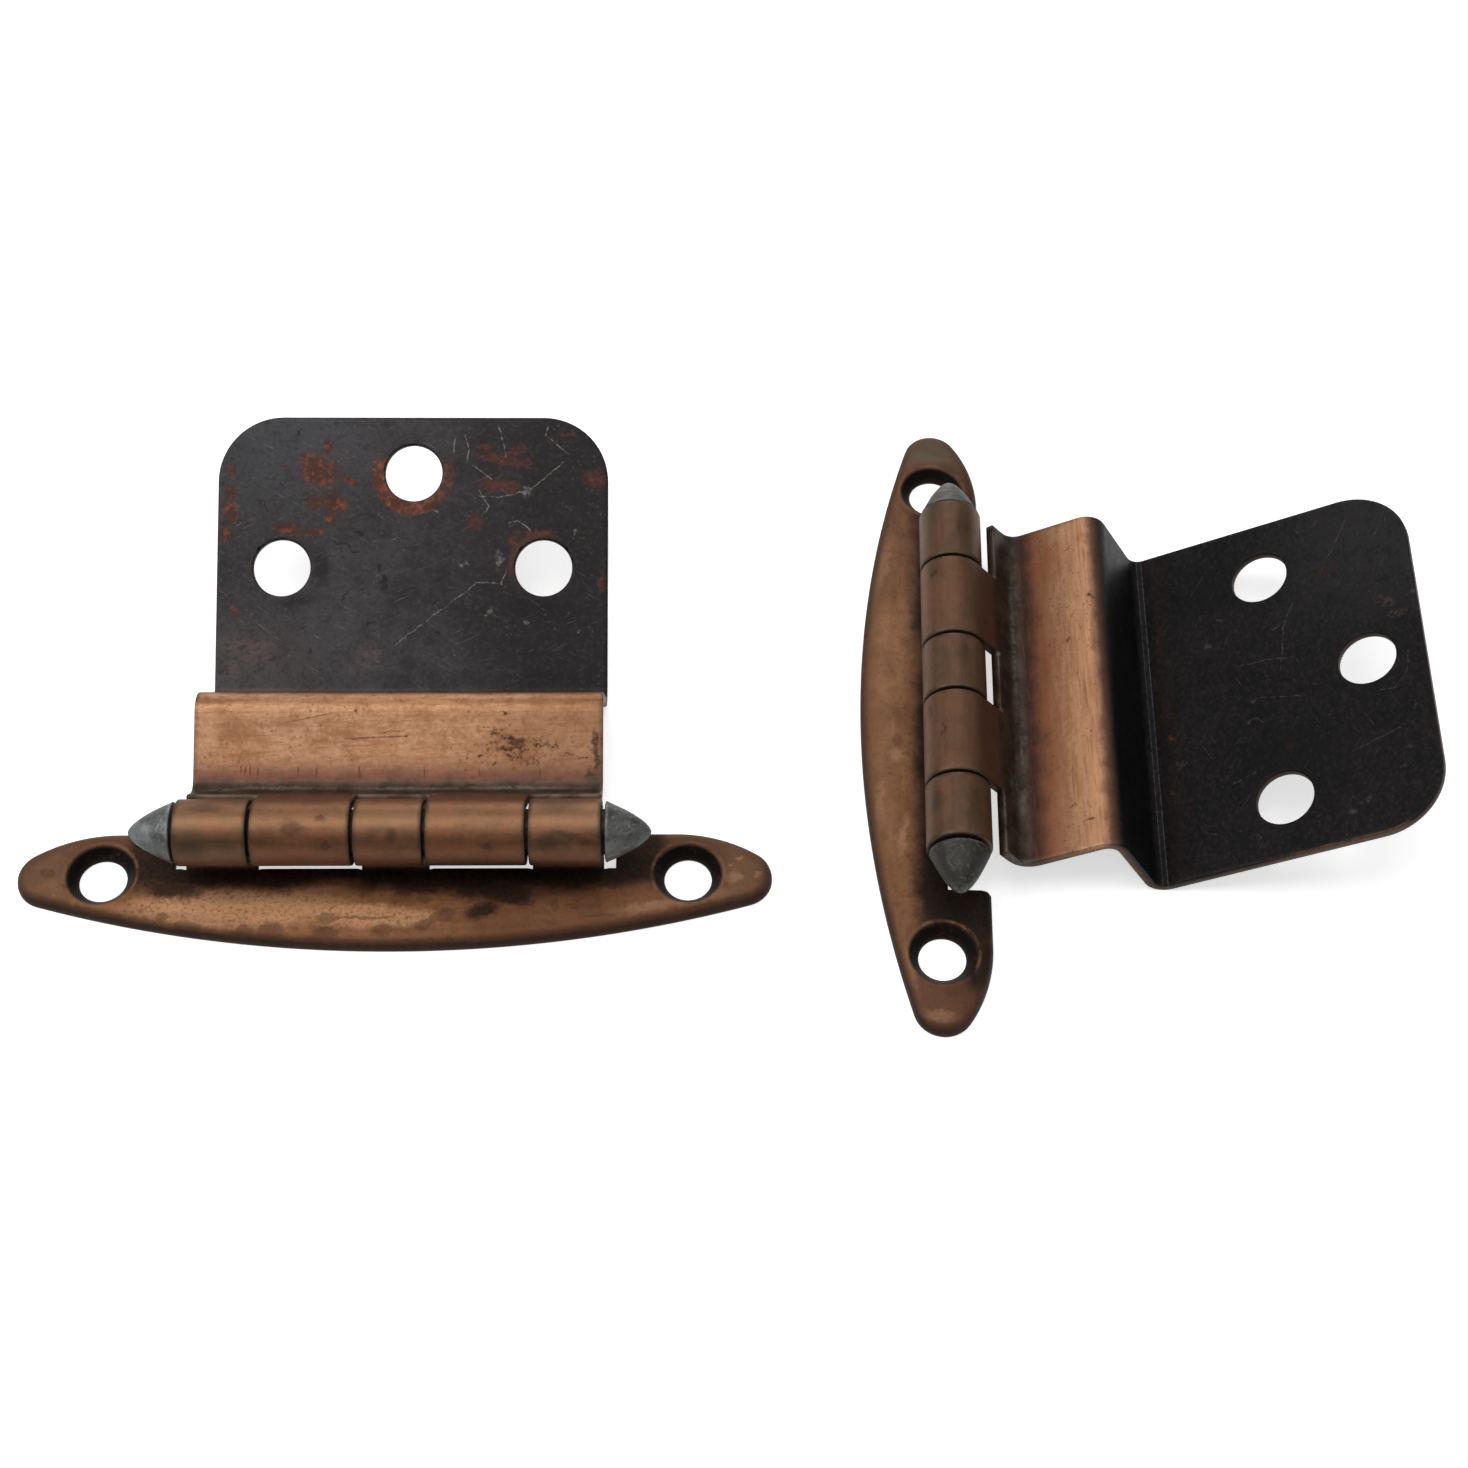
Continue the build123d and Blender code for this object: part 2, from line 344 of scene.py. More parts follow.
def sheet_solid(name, front, back, triangles, attributes, smooth_rim=()):
    """A closed solid from the two bent faces of a flat pattern, with a wall round each edge.

    Every edge of the sheet is marked to be rounded, but not the front one between two points of smooth_rim.
    """
    count = len(front)
    faces = [tuple(int(i) for i in t) for t in triangles]
    faces += [tuple(int(i) + count for i in t[::-1]) for t in triangles]
    sharp = set()
    for a, b in boundary(triangles):
        faces.append((b, a, a + count, b + count))
        sharp.add((min(a, b) + count, max(a, b) + count))
        if not (a in smooth_rim and b in smooth_rim):
            sharp.add((min(a, b), max(a, b)))
    mesh = bpy.data.meshes.new(name)
    mesh.from_pydata([tuple(p * MM) for p in np.concatenate([front, back])], [], faces)
    weights = mesh.attributes.new("bevel_weight_edge", "FLOAT", "EDGE")
    marked = [1.0 if (min(e.vertices), max(e.vertices)) in sharp else 0.0 for e in mesh.edges]
    weights.data.foreach_set("value", marked)
    for key, (front_values, back_values) in attributes.items():
        add_layer(mesh, key, np.concatenate([front_values, back_values]).astype(np.float32))
    return add_object(name, mesh)


def finish_piece(piece, matrix, body, node, material, edge_round):
    """Softens the edges, smooths the faces, and sets the piece in its place on its body."""
    piece.data.materials.append(material)
    for polygon in piece.data.polygons:
        polygon.use_smooth = True
    if edge_round:
        bevel = piece.modifiers.new("edge_round", "BEVEL")
        bevel.width = edge_round * MM
        bevel.segments = 2
        bevel.limit_method = "WEIGHT"
        bevel.use_clamp_overlap = False
        bevel.harden_normals = False
        normals = piece.modifiers.new("normals", "WEIGHTED_NORMAL")
        normals.weight = 80
    piece.data.transform(matrix)
    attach(piece, body)
    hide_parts(node)
    return piece


def circle(x, y, radius, count):
    turns = [2 * pi * i / count for i in range(count)]
    return np.array([[x + radius * cos(a), y + radius * sin(a)] for a in turns])


def sample_edge(points, step):
    """The same polyline with points about a step apart."""
    out = []
    for a, b in zip(points[:-1], points[1:]):
        count = max(1, int(round(np.linalg.norm(np.array(b) - np.array(a)) / step)))
        for i in range(count):
            out.append(np.array(a) + (np.array(b) - np.array(a)) * i / count)
    out.append(np.array(points[-1], float))
    return out


# Door leaf


def door_pattern(marks):
    """The leaf laid flat: X along the pin, Y along the fold from the seam to the far end."""
    knuckle_in = MIDDLE_KNUCKLE / 2 + KNUCKLE_GAP
    knuckle_out = knuckle_in + DOOR_KNUCKLE
    end = marks["end"]
    centre = np.array([DOOR_HALF - PLATE_CORNER, end - PLATE_CORNER])
    corner = [tuple(centre + polar(PLATE_CORNER, a)) for a in spread(0, 90, 5)]
    right = [(0.0, marks["lip"]), (knuckle_in, marks["lip"]), (knuckle_in, 0.0), (knuckle_out, 0.0)]
    right += [(knuckle_out, marks["lip"]), (DOOR_HALF, marks["lip"])] + corner
    left = [(-x, y) for x, y in reversed(right)]
    outline = sample_edge(right + left, EDGE_STEP)[:-1]
    clean = [outline[0]]
    for p in outline[1:]:
        if np.linalg.norm(p - clean[-1]) > 1e-6:
            clean.append(p)
    flat = end - PLATE_REACH
    places = ((-PAIR_HALF, PLATE_PAIR), (PAIR_HALF, PLATE_PAIR), (0, PLATE_SINGLE))
    holes = [circle(x, flat + reach, PLATE_HOLE, PLATE_HOLE_SIDES) for x, reach in places]
    return np.array(clean), holes, knuckle_in, knuckle_out


def door_leaf(side, material):
    fold, marks = door_fold()
    outline, holes, knuckle_in, knuckle_out = door_pattern(marks)
    extra = []
    for length in fold.length[1:-1]:
        if length < marks["lip"] - 0.1:
            columns = [s * x for s in (-1, 1) for x in spread(knuckle_in, knuckle_out, GRID)[1:-1]]
        else:
            columns = spread(-DOOR_HALF, DOOR_HALF, GRID)[1:-1]
        extra += [(x, length) for x in columns]
    for hole in holes:
        middle = hole.mean(axis=0)
        extra += [tuple(p) for p in circle(*middle, PLATE_HOLE + HOLE_ROW, PLATE_HOLE_SIDES)]
    pattern, triangles = triangulate([outline] + holes, extra)
    along, across = pattern[:, 1], pattern[:, 0]
    edge = np.minimum.reduce([loop_distance(pattern, loop) for loop in [outline] + holes])
    faces = {}
    for face in ("front", "back"):
        section = fold.at(along, face)
        faces[face] = np.stack([across, section[:, 0], section[:, 1]], axis=1)
    ones = np.ones(len(pattern))
    down = faces["front"][:, 1]
    attributes = {"across": (across, across), "down": (down, down), "fold": (along, along)}
    attributes.update({"edge": (edge, edge), "face": (ones, 0 * ones)})
    piece = sheet_solid(side + "_door_leaf_plated", faces["front"], faces["back"], triangles, attributes)
    # The front of the pattern faces away from the bore when its triangles run the other way
    piece.data.flip_normals()
    place = place_of(side) @ leaf_turn()
    node = side + "_door_leaf"
    return finish_piece(piece, place, side + "_door_side", node, material, EDGE_ROUND)


# Frame leaf


def boat_outline(step):
    """The whole boat, from the right end of its straight inner edge round both tips and back."""
    tip = np.array([FRAME_LENGTH / 2 - TIP_RADIUS, -TIP_OFFSET])
    bulge = FRAME_OUTER - TIP_OFFSET
    radius = (tip[0] ** 2 + bulge**2 - TIP_RADIUS**2) / (2 * (bulge - TIP_RADIUS))
    outer = np.array([0, radius - FRAME_OUTER])
    inner_y = FRAME_INNER - SHOULDER
    inner = np.array([tip[0] - sqrt((SHOULDER - TIP_RADIUS) ** 2 - (tip[1] - inner_y) ** 2), inner_y])

    def turn_to(a, b):
        return degrees(atan2(b[1] - a[1], b[0] - a[0]))

    tip_end = turn_to(inner, tip)
    tip_start = turn_to(outer, tip)
    half = [tuple(inner + polar(SHOULDER, 90))]
    arcs = (
        (inner, SHOULDER, 90, tip_end),
        (tip, TIP_RADIUS, tip_end, tip_start),
        (outer, radius, tip_start, -90),
    )
    for centre, size, start, end in arcs:
        half += [tuple(centre + polar(size, a)) for a in spread(start, end, degrees(step / size))[1:]]
    return half


def frame_leaf(side, material):
    fold, bend_start = strap_fold()
    half = boat_outline(BOAT_STEP)
    right = sample_edge([(NOTCH_END, FRAME_INNER), half[0]], BOAT_STEP)[:-1] + [np.array(p) for p in half]
    boat = right + [np.array([-p[0], p[1]]) for p in reversed(right[:-1])]
    whole = np.array([np.array([0.0, FRAME_INNER])] + boat)
    reach = bend_start + fold.length[-1]
    middle_tab = (-MIDDLE_KNUCKLE / 2, MIDDLE_KNUCKLE / 2)
    tabs = [(-BARREL_END, -BARREL_END + END_KNUCKLE), middle_tab, (BARREL_END - END_KNUCKLE, BARREL_END)]
    notch = [(-NOTCH_END, FRAME_INNER), (-NOTCH_END, -NOTCH)]
    for start, end in tabs:
        notch += [(start, -NOTCH), (start, reach), (end, reach), (end, -NOTCH)]
    notch += [(NOTCH_END, -NOTCH), (NOTCH_END, FRAME_INNER)]
    outline = np.array(boat[:-1] + sample_edge(notch, EDGE_STEP)[:-1])
    screws = [(s * SCREW_SPACING / 2, -SCREW_REACH) for s in (-1, 1)]
    holes = [circle(*place, SCREW_HOLE, SCREW_HOLE_SIDES) for place in screws]
    loop = np.array(boat)
    tangent = np.roll(loop, -1, axis=0) - np.roll(loop, 1, axis=0)
    tangent[0], tangent[-1] = loop[1] - loop[0], loop[-1] - loop[-2]
    normal = np.stack([tangent[:, 1], -tangent[:, 0]], axis=1) / np.linalg.norm(tangent, axis=1)[:, None]
    extra = [tuple(p) for inset in RIM_ROWS for p in loop + normal * inset]
    for hole in holes:
        middle = hole.mean(axis=0)
        extra += [tuple(p) for radius in SINK_ROWS for p in circle(*middle, radius, SCREW_HOLE_SIDES)]
    columns, rows = (spread(*ends, GRID) for ends in FRAME_GRID)
    grid = np.array([(x, y) for x in columns for y in rows])
    far = loop_distance(grid, whole) > RIM_ZONE
    for hole in holes:
        far &= np.linalg.norm(grid - hole.mean(axis=0), axis=1) > SINK_ZONE
    far &= (grid[:, 1] < -NOTCH - 0.2) | (np.abs(grid[:, 0]) > NOTCH_END)
    extra += [tuple(p) for p in grid[far]]
    for length in fold.length[1:-1]:
        for start, end in tabs:
            extra += [(x, bend_start + length) for x in spread(start, end, GRID)[1:-1]]
    pattern, triangles = triangulate([outline] + holes, extra)
    x, y = pattern[:, 0], pattern[:, 1]
    on_tab = np.zeros(len(pattern), bool)
    for start, end in tabs:
        on_tab |= (x > start - 1e-6) & (x < end + 1e-6)
    on_tab &= y > bend_start
    rim = loop_distance(pattern, whole)
    rim[on_tab] = np.inf
    hole_gap = np.min([np.linalg.norm(pattern - h.mean(axis=0), axis=1) for h in holes], axis=0)
    # Top face: rounded down at the rim and sunk round each screw
    drop = np.clip(RIM_ROUND - rim, 0, RIM_ROUND)
    top = FRAME_HEIGHT - RIM_ROUND + np.sqrt(np.maximum(RIM_ROUND**2 - drop**2, 0))
    cone = SINK_LAND + (hole_gap - SCREW_HOLE) * (FRAME_HEIGHT - SINK_LAND) / (SINK - SCREW_HOLE)
    blend = np.clip(0.5 + 0.5 * (top - cone) / SINK_SOFTNESS, 0, 1)
    top = top * (1 - blend) + cone * blend - SINK_SOFTNESS * blend * (1 - blend)
    top = np.maximum(top, SINK_LAND)
    # Back face: the rim and the dimples reach the table, the rest is hollow
    hollow = FRAME_HEIGHT - SHEET
    foot = SCREW_HOLE + DIMPLE_WALL
    under = hollow * np.clip((rim - SHEET) / WALL_SLOPE, 0, 1)
    under = np.minimum(under, hollow * np.clip((hole_gap - foot) / DIMPLE_SLOPE, 0, 1))
    front = np.stack([x, y, top], axis=1)
    back = np.stack([x, y, under], axis=1)
    for face, target in (("front", front), ("back", back)):
        section = fold.at(y[on_tab] - bend_start, face)
        target[on_tab, 1] = section[:, 0]
        target[on_tab, 2] = section[:, 1] + PIN_HEIGHT
    edge = np.minimum.reduce([loop_distance(pattern, loop) for loop in [outline] + holes])
    ones = np.ones(len(pattern))
    attributes = {"across": (x, x), "down": (y, y), "edge": (edge, edge), "face": (ones, 0 * ones)}
    on_rim = set(np.nonzero(rim < 0.01)[0].tolist())
    piece = sheet_solid(side + "_frame_leaf_plated", front, back, triangles, attributes, on_rim)
    node = side + "_frame_leaf"
    return finish_piece(piece, place_of(side), "pair_base", node, material, EDGE_ROUND)


# Finials


def finial(side, end, material):
    """A turned bullet with a softly worn edge and nose, drawn along its own X from its base."""
    worn_edge = ((0.0, 0.28), (0.04, 0.12), (0.14, 0.03))
    rings = [(0.0, 0.0), (0.0, 1.3)] + [(x, FINIAL_RADIUS - less) for x, less in worn_edge]
    for i in range(1, FINIAL_ROWS):
        share = sin(radians(3 + 87 * i / FINIAL_ROWS))
        rings.append((FINIAL_LENGTH * share, FINIAL_RADIUS * (1 - share) ** FINIAL_FULLNESS))
    rings.append((FINIAL_LENGTH, 0.0))
    around = FINIAL_SIDES
    vertices, faces = [], []
    for x, r in rings:
        for k in range(around if r > 0 else 1):
            a = 2 * pi * k / around
            dent = 1 + 0.006 * sin(3 * a + 2.1 * x) * sin(1.7 * x + 0.6) - 0.005 * max(0, sin(2 * a + x))
            vertices.append((x * MM, r * dent * cos(a) * MM, r * dent * sin(a) * MM))
    starts, at = [], 0
    for x, r in rings:
        starts.append(at)
        at += around if r > 0 else 1
    for i in range(len(rings) - 1):
        one, two = rings[i][1] > 0, rings[i + 1][1] > 0
        for k in range(around):
            n = (k + 1) % around
            a, b = starts[i] + (k if one else 0), starts[i] + (n if one else 0)
            c, d = starts[i + 1] + (n if two else 0), starts[i + 1] + (k if two else 0)
            if not one:
                faces.append((a, d, c))
            elif not two:
                faces.append((a, c, b))
            else:
                faces.append((a, d, c, b))
    mesh = bpy.data.meshes.new(f"{side}_{end}_finial_turned")
    mesh.from_pydata(vertices, [], faces)
    way = 1 if end == "lower" else -1
    for key, values in {
        "fold": [v[0] / MM for v in vertices],
        "across": [way * (v[0] / MM + BARREL_END) for v in vertices],
        "down": [way * v[1] / MM for v in vertices],
    }.items():
        add_layer(mesh, key, values)
    piece = add_object(mesh.name, mesh)
    start = (BARREL_END + FINIAL_GAP) * MM
    local = Matrix.Translation((start, 0, PIN_HEIGHT * MM))
    if end == "upper":
        local = Matrix.Rotation(pi, 4, "Z") @ local
    node = f"{side}_{end}_finial"
    return finish_piece(piece, place_of(side) @ local, "pair_base", node, material, 0)


# Materials: how a surface is put together


def connect(tree, node, inputs):
    """Links or sets a node's inputs."""
    for key, value in inputs.items():
        if isinstance(value, bpy.types.NodeSocket):
            tree.links.new(value, node.inputs[key])
        else:
            node.inputs[key].default_value = value


def wire(tree, kind, inputs, **settings):
    """A new node with its settings, and its inputs linked or set."""
    made = tree.nodes.new(kind)
    for key, value in settings.items():
        setattr(made, key, value)
    connect(tree, made, inputs)
    return made


class Look:
    """A material being built, in millimetres of the hinge's or leaf's own frame."""

    def __init__(self, name, matrix):
        self.material = bpy.data.materials.new(name)
        self.material.use_nodes = True
        self.tree = self.material.node_tree
        self.shader = self.tree.nodes["Principled BSDF"]
        coords = self.node("ShaderNodeTexCoord", {})
        own = self.node("ShaderNodeMapping", {0: coords.outputs["Object"]}, vector_type="TEXTURE")
        own.inputs["Location"].default_value = matrix.to_translation()
        own.inputs["Rotation"].default_value = matrix.to_euler("XYZ")
        own.inputs["Scale"].default_value = (MM, MM, MM)
        self.mm = own.outputs[0]
        self.x = self.attribute("across")
        self.y = self.attribute("down")
        self.exact = (self.x, self.y)
        push = [self.noise(1.0, 4.0, 0.68, self.moved(shift=shift)) for shift in ((11, 0, 0), (0, 17, 5))]
        self.ragged = self.pushed(push, 1.9)
        self.medium = self.pushed(push, 1.1)
        self.slight = self.pushed(push, 0.5)

    def short_names(self):
        sums = self.mul, self.add, self.most, self.invert, self.scaled
        return self.mix, self.over, *sums, self.step, self.within, self.spots, self.noise

    def node(self, kind, inputs, **settings):
        return wire(self.tree, kind, inputs, **settings)

    def attribute(self, name):
        return self.node("ShaderNodeAttribute", {}, attribute_name=name).outputs["Fac"]

    def math(self, operation, a, b=0.0, c=0.0):
        return self.node("ShaderNodeMath", {0: a, 1: b, 2: c}, operation=operation).outputs[0]

    def add(self, a, b):
        return self.math("ADD", a, b)

    def sub(self, a, b):
        return self.math("SUBTRACT", a, b)

    def mul(self, first, *others):
        for other in others:
            first = self.math("MULTIPLY", first, other)
        return first

    def scaled(self, value, times, plus):
        return self.math("MULTIPLY_ADD", value, times, plus)

    def invert(self, a):
        return self.math("SUBTRACT", 1.0, a)

    def most(self, first, *others):
        for other in others:
            first = self.math("MAXIMUM", first, other)
        return first

    def step(self, value, low, high, at_low=0.0, at_high=1.0):
        """Passes smoothly from one value to another as a number passes from low to high."""
        inputs = {0: value, 1: low, 2: high, 3: at_low, 4: at_high}
        return self.node("ShaderNodeMapRange", inputs, interpolation_type="SMOOTHSTEP").outputs[0]

    def linear(self, value, low, high, at_low=0.0, at_high=1.0):
        return self.node("ShaderNodeMapRange", {0: value, 1: low, 2: high, 3: at_low, 4: at_high}).outputs[0]

    def within(self, value, low, high, soft):
        """1 between two values and 0 outside them."""
        return self.mul(
            self.step(value, low - soft, low + soft), self.step(value, high - soft, high + soft, 1.0, 0.0)
        )

    def moved(self, stretch=(1, 1, 1), turn=0.0, shift=(0, 0, 0)):
        """The piece's coordinates, moved, turned about Z and then scaled along each axis."""
        inputs = {0: self.mm, 1: shift, 2: (0, 0, radians(turn)), 3: [1 / s for s in stretch]}
        return self.node("ShaderNodeMapping", inputs, vector_type="TEXTURE").outputs[0]

    def noise(self, scale, detail=4.0, roughness=0.6, where=None):
        inputs = {"Vector": where or self.mm, "Scale": scale, "Detail": detail, "Roughness": roughness}
        return self.node("ShaderNodeTexNoise", inputs).outputs[0]

    def pushed(self, push, amount):
        """The place along and across the piece, pushed about at random by up to about half an amount."""
        x = self.add(self.x, self.scaled(push[0], amount, -amount / 2))
        y = self.add(self.y, self.scaled(push[1], amount, -amount / 2))
        return x, y

    def mix(self, share, a, b):
        return self.node("ShaderNodeMix", {0: share, 6: a, 7: b}, data_type="RGBA").outputs[2]

    def over(self, colour, tone, *shares):
        """A colour with a share of another laid over it."""
        return self.mix(self.mul(*shares), colour, srgb(*tone))

    def clouds(self, colour, layers):
        """A colour with others laid over it where a field passes from low to high, up to an amount."""
        for tone, field, low, high, amount in layers:
            colour = self.over(colour, tone, self.step(field, low, high, 0.0, amount))
        return colour

    def ellipse(self, x, y, wide, high, turn, where):
        """How far out a point lies in an ellipse about a place, squared: 1 is on its edge."""
        c, s = cos(radians(turn)), sin(radians(turn))
        a = self.scaled(where[0], c / wide, -(x * c + y * s) / wide)
        b = self.scaled(where[1], c / high, -(y * c - x * s) / high)
        if turn:
            a = self.scaled(where[1], s / wide, a)
            b = self.scaled(where[0], -s / high, b)
        return self.math("MULTIPLY_ADD", a, a, self.mul(b, b))

    def distance(self, x, y):
        return self.math("SQRT", self.ellipse(x, y, 1, 1, 0, self.exact))

    def spots(self, places, soft=0.3, where=None):
        """Patches, each (x, y, half width, half height) and perhaps a turn: 1 inside, 0 outside."""
        nearest = None
        for x, y, wide, high, *turn in places:
            found = self.ellipse(x, y, wide, high, turn[0] if turn else 0, where or self.ragged)
            nearest = found if nearest is None else self.math("MINIMUM", nearest, found)
        return self.step(self.math("SQRT", nearest), 1 - soft, 1 + soft, 1.0, 0.0)

    def scratches(self, lines, width):
        """Thin lines from place to place, broken here and there."""
        nearest = None
        px, py = self.slight
        for line in lines:
            for (x0, y0), (x1, y1) in zip(line, line[1:]):
                x, y, half = (x0 + x1) / 2, (y0 + y1) / 2, hypot(x1 - x0, y1 - y0) / 2
                ux, uy = (x1 - x0) / (2 * half * width), (y1 - y0) / (2 * half * width)
                along = self.scaled(py, uy, self.scaled(px, ux, -(x * ux + y * uy)))
                aside = self.scaled(py, ux, self.scaled(px, -uy, x * uy - y * ux))
                past = self.most(self.sub(self.math("ABSOLUTE", along), half / width), 0.0)
                found = self.math("MULTIPLY_ADD", past, past, self.mul(aside, aside))
                nearest = found if nearest is None else self.math("MINIMUM", nearest, found)
        return self.step(self.math("SQRT", nearest), 0.3, 1.2, 1.0, 0.0)

    def hairs(self, across, along, turn, low, high, shift=(0, 0, 0)):
        """Fine lines all over, turned away from the pin by an angle."""
        return self.step(self.noise(1.0, 3, 0.6, self.moved((along, across, across), turn, shift)), low, high)

    def specks(self, scale, size, gate_low, gate_high):
        """Small scattered points, more of them in some places than in others."""
        where = self.moved()
        inputs = {"Vector": where, "Scale": scale}
        cells = self.node("ShaderNodeTexVoronoi", inputs, feature="F1").outputs["Distance"]
        points = self.step(cells, size * scale * 0.6, size * scale, 1.0, 0.0)
        return self.mul(points, self.step(self.noise(0.3, 4, 0.7, where), gate_low, gate_high))

    def bump(self, height, strength, distance, before=None):
        inputs = {"Height": height, "Strength": strength, "Distance": distance * MM}
        if before:
            inputs["Normal"] = before
        return self.node("ShaderNodeBump", inputs).outputs[0]

    def close(self, colour, roughness, metallic, normal):
        inputs = {"Base Color": colour, "Roughness": roughness, "Metallic": metallic, "Normal": normal}
        connect(self.tree, self.shader, inputs)
        return self.material


def srgb(red, green, blue):
    """A colour as seen on screen, from 0 to 255, as linear values."""

    def linear(value):
        value /= 255
        return value / 12.92 if value <= 0.04045 else ((value + 0.055) / 1.055) ** 2.4

    return (linear(red), linear(green), linear(blue), 1.0)


# Marks of wear, and patches of painted shade and painted highlight, in millimetres: patches as (x, y, half
# width, half height, turn), and scratches as lines

FRAME_MARKS = {
    "left": {
        "blot": [
            (-10.9, -7.4, 1.2, 1.1), (-13.3, -7.3, 0.84, 0.68), (-5.8, -6, 1.1, 0.58),
            (-5.9, -7.5, 1.2, 0.73), (-7, -8.2, 0.79, 0.42), (-0.72, -7.3, 0.89, 0.68),
            (-20.9, -5.8, 0.63, 0.37), (-18.5, -6.8, 1.3, 0.58, -10), (-19.5, -7.3, 0.68, 0.42),
            (-32, -1.2, 0.53, 0.68, 30), (-2.4, -6, 2.9, 0.16), (-30.1, -2.5, 0.26, 0.26),
            (4.9, -5.7, 0.94, 0.63, 30), (2.9, -6.8, 0.84, 0.58, 30), (3.8, -6.2, 0.79, 0.42, 30),
            (5.4, -8.1, 0.37, 0.26), (0.84, -3.5, 0.79, 0.37), (3, -4.1, 0.79, 0.32),
            (14.9, -4.7, 0.42, 0.68), (17.4, -4.8, 1.6, 0.32), (18.8, -4.5, 0.32, 0.68),
            (19.3, -5.8, 1.1, 0.21),
        ],
        "shade": [
            (-20.5, -2.9, 2.9, 1.1, -5), (-22.5, -1.9, 1.6, 1.3, -20), (10, -3.2, 3.4, 1.3, -5),
            (8.3, -5.2, 1.6, 0.79, 20), (11, -3.9, 2.1, 0.79, -10), (2.4, -2.8, 2.4, 0.68),
            (16.7, -2.3, 1.6, 0.79), (7, -2.8, 1.6, 1.3), (20.8, -1.8, 2.4, 0.79, 20),
        ],
        "glow": [
            (-17.5, -5.4, 0.42, 0.37), (-18.3, -6.2, 0.79, 0.58, -30), (-31.2, -3.5, 0.21, 0.16),
            (-29.3, -4.2, 0.16, 0.16), (-25.2, -3.2, 1.3, 0.26, 35), (31.9, 0.19, 0.26, 0.16),
            (33.5, -1.6, 0.24, 0.16), (31.5, -1.8, 0.68, 0.58, 30), (31, -0.48, 0.21, 0.21),
            (25.5, -4.5, 5.2, 0.53, 12), (23.8, 0.76, 0.53, 0.37),
        ],
        "barrel": [
            (15.2, 9.1, 1.9, 0.7), (14.4, 12.2, 0.9, 0.7), (16.6, 11.7, 1.7, 0.22, 12),
            (17.9, 12.2, 0.5, 0.3), (0.4, 11.6, 0.5, 0.4), (-17.6, 12.9, 1.3, 0.7), (-16.4, 9.3, 1.8, 0.4),
        ],
    },
    "right": {
        "blot": [
            (-33.3, -0.62, 1.5, 3.3, -20), (3.8, -5.3, 0.73, 0.59), (5.5, -4.3, 0.37, 0.37),
            (22.2, -5.5, 0.29, 0.51), (-9.8, -3.4, 1.1, 0.37), (31.1, 0.11, 0.59, 1.5),
        ],
        "shade": [
            (21, -1.8, 4.4, 1.9, 6), (24, 1.4, 3.6, 2.8), (28.2, 2.2, 3.4, 1.3, -14), (14.5, -1.8, 5, 0.6),
            (-15, -2.4, 4.5, 0.5, 3),
        ],
        "glow": [
            (15, -4.8, 2.2, 0.22, -8), (11, -6.9, 2.2, 0.37), (5.7, -5.3, 0.73, 0.51),
            (29.1, -4.4, 2.2, 0.44, 15), (-17.3, -6.4, 3.3, 0.51, -12), (33.5, -2, 0.51, 1.5),
        ],
        "barrel": [(-16, 9, 1.8, 0.7), (-0.8, 9.3, 1.5, 0.6), (15.9, 8.9, 1.9, 0.6), (15.4, 12, 1, 0.4)],
    },
}

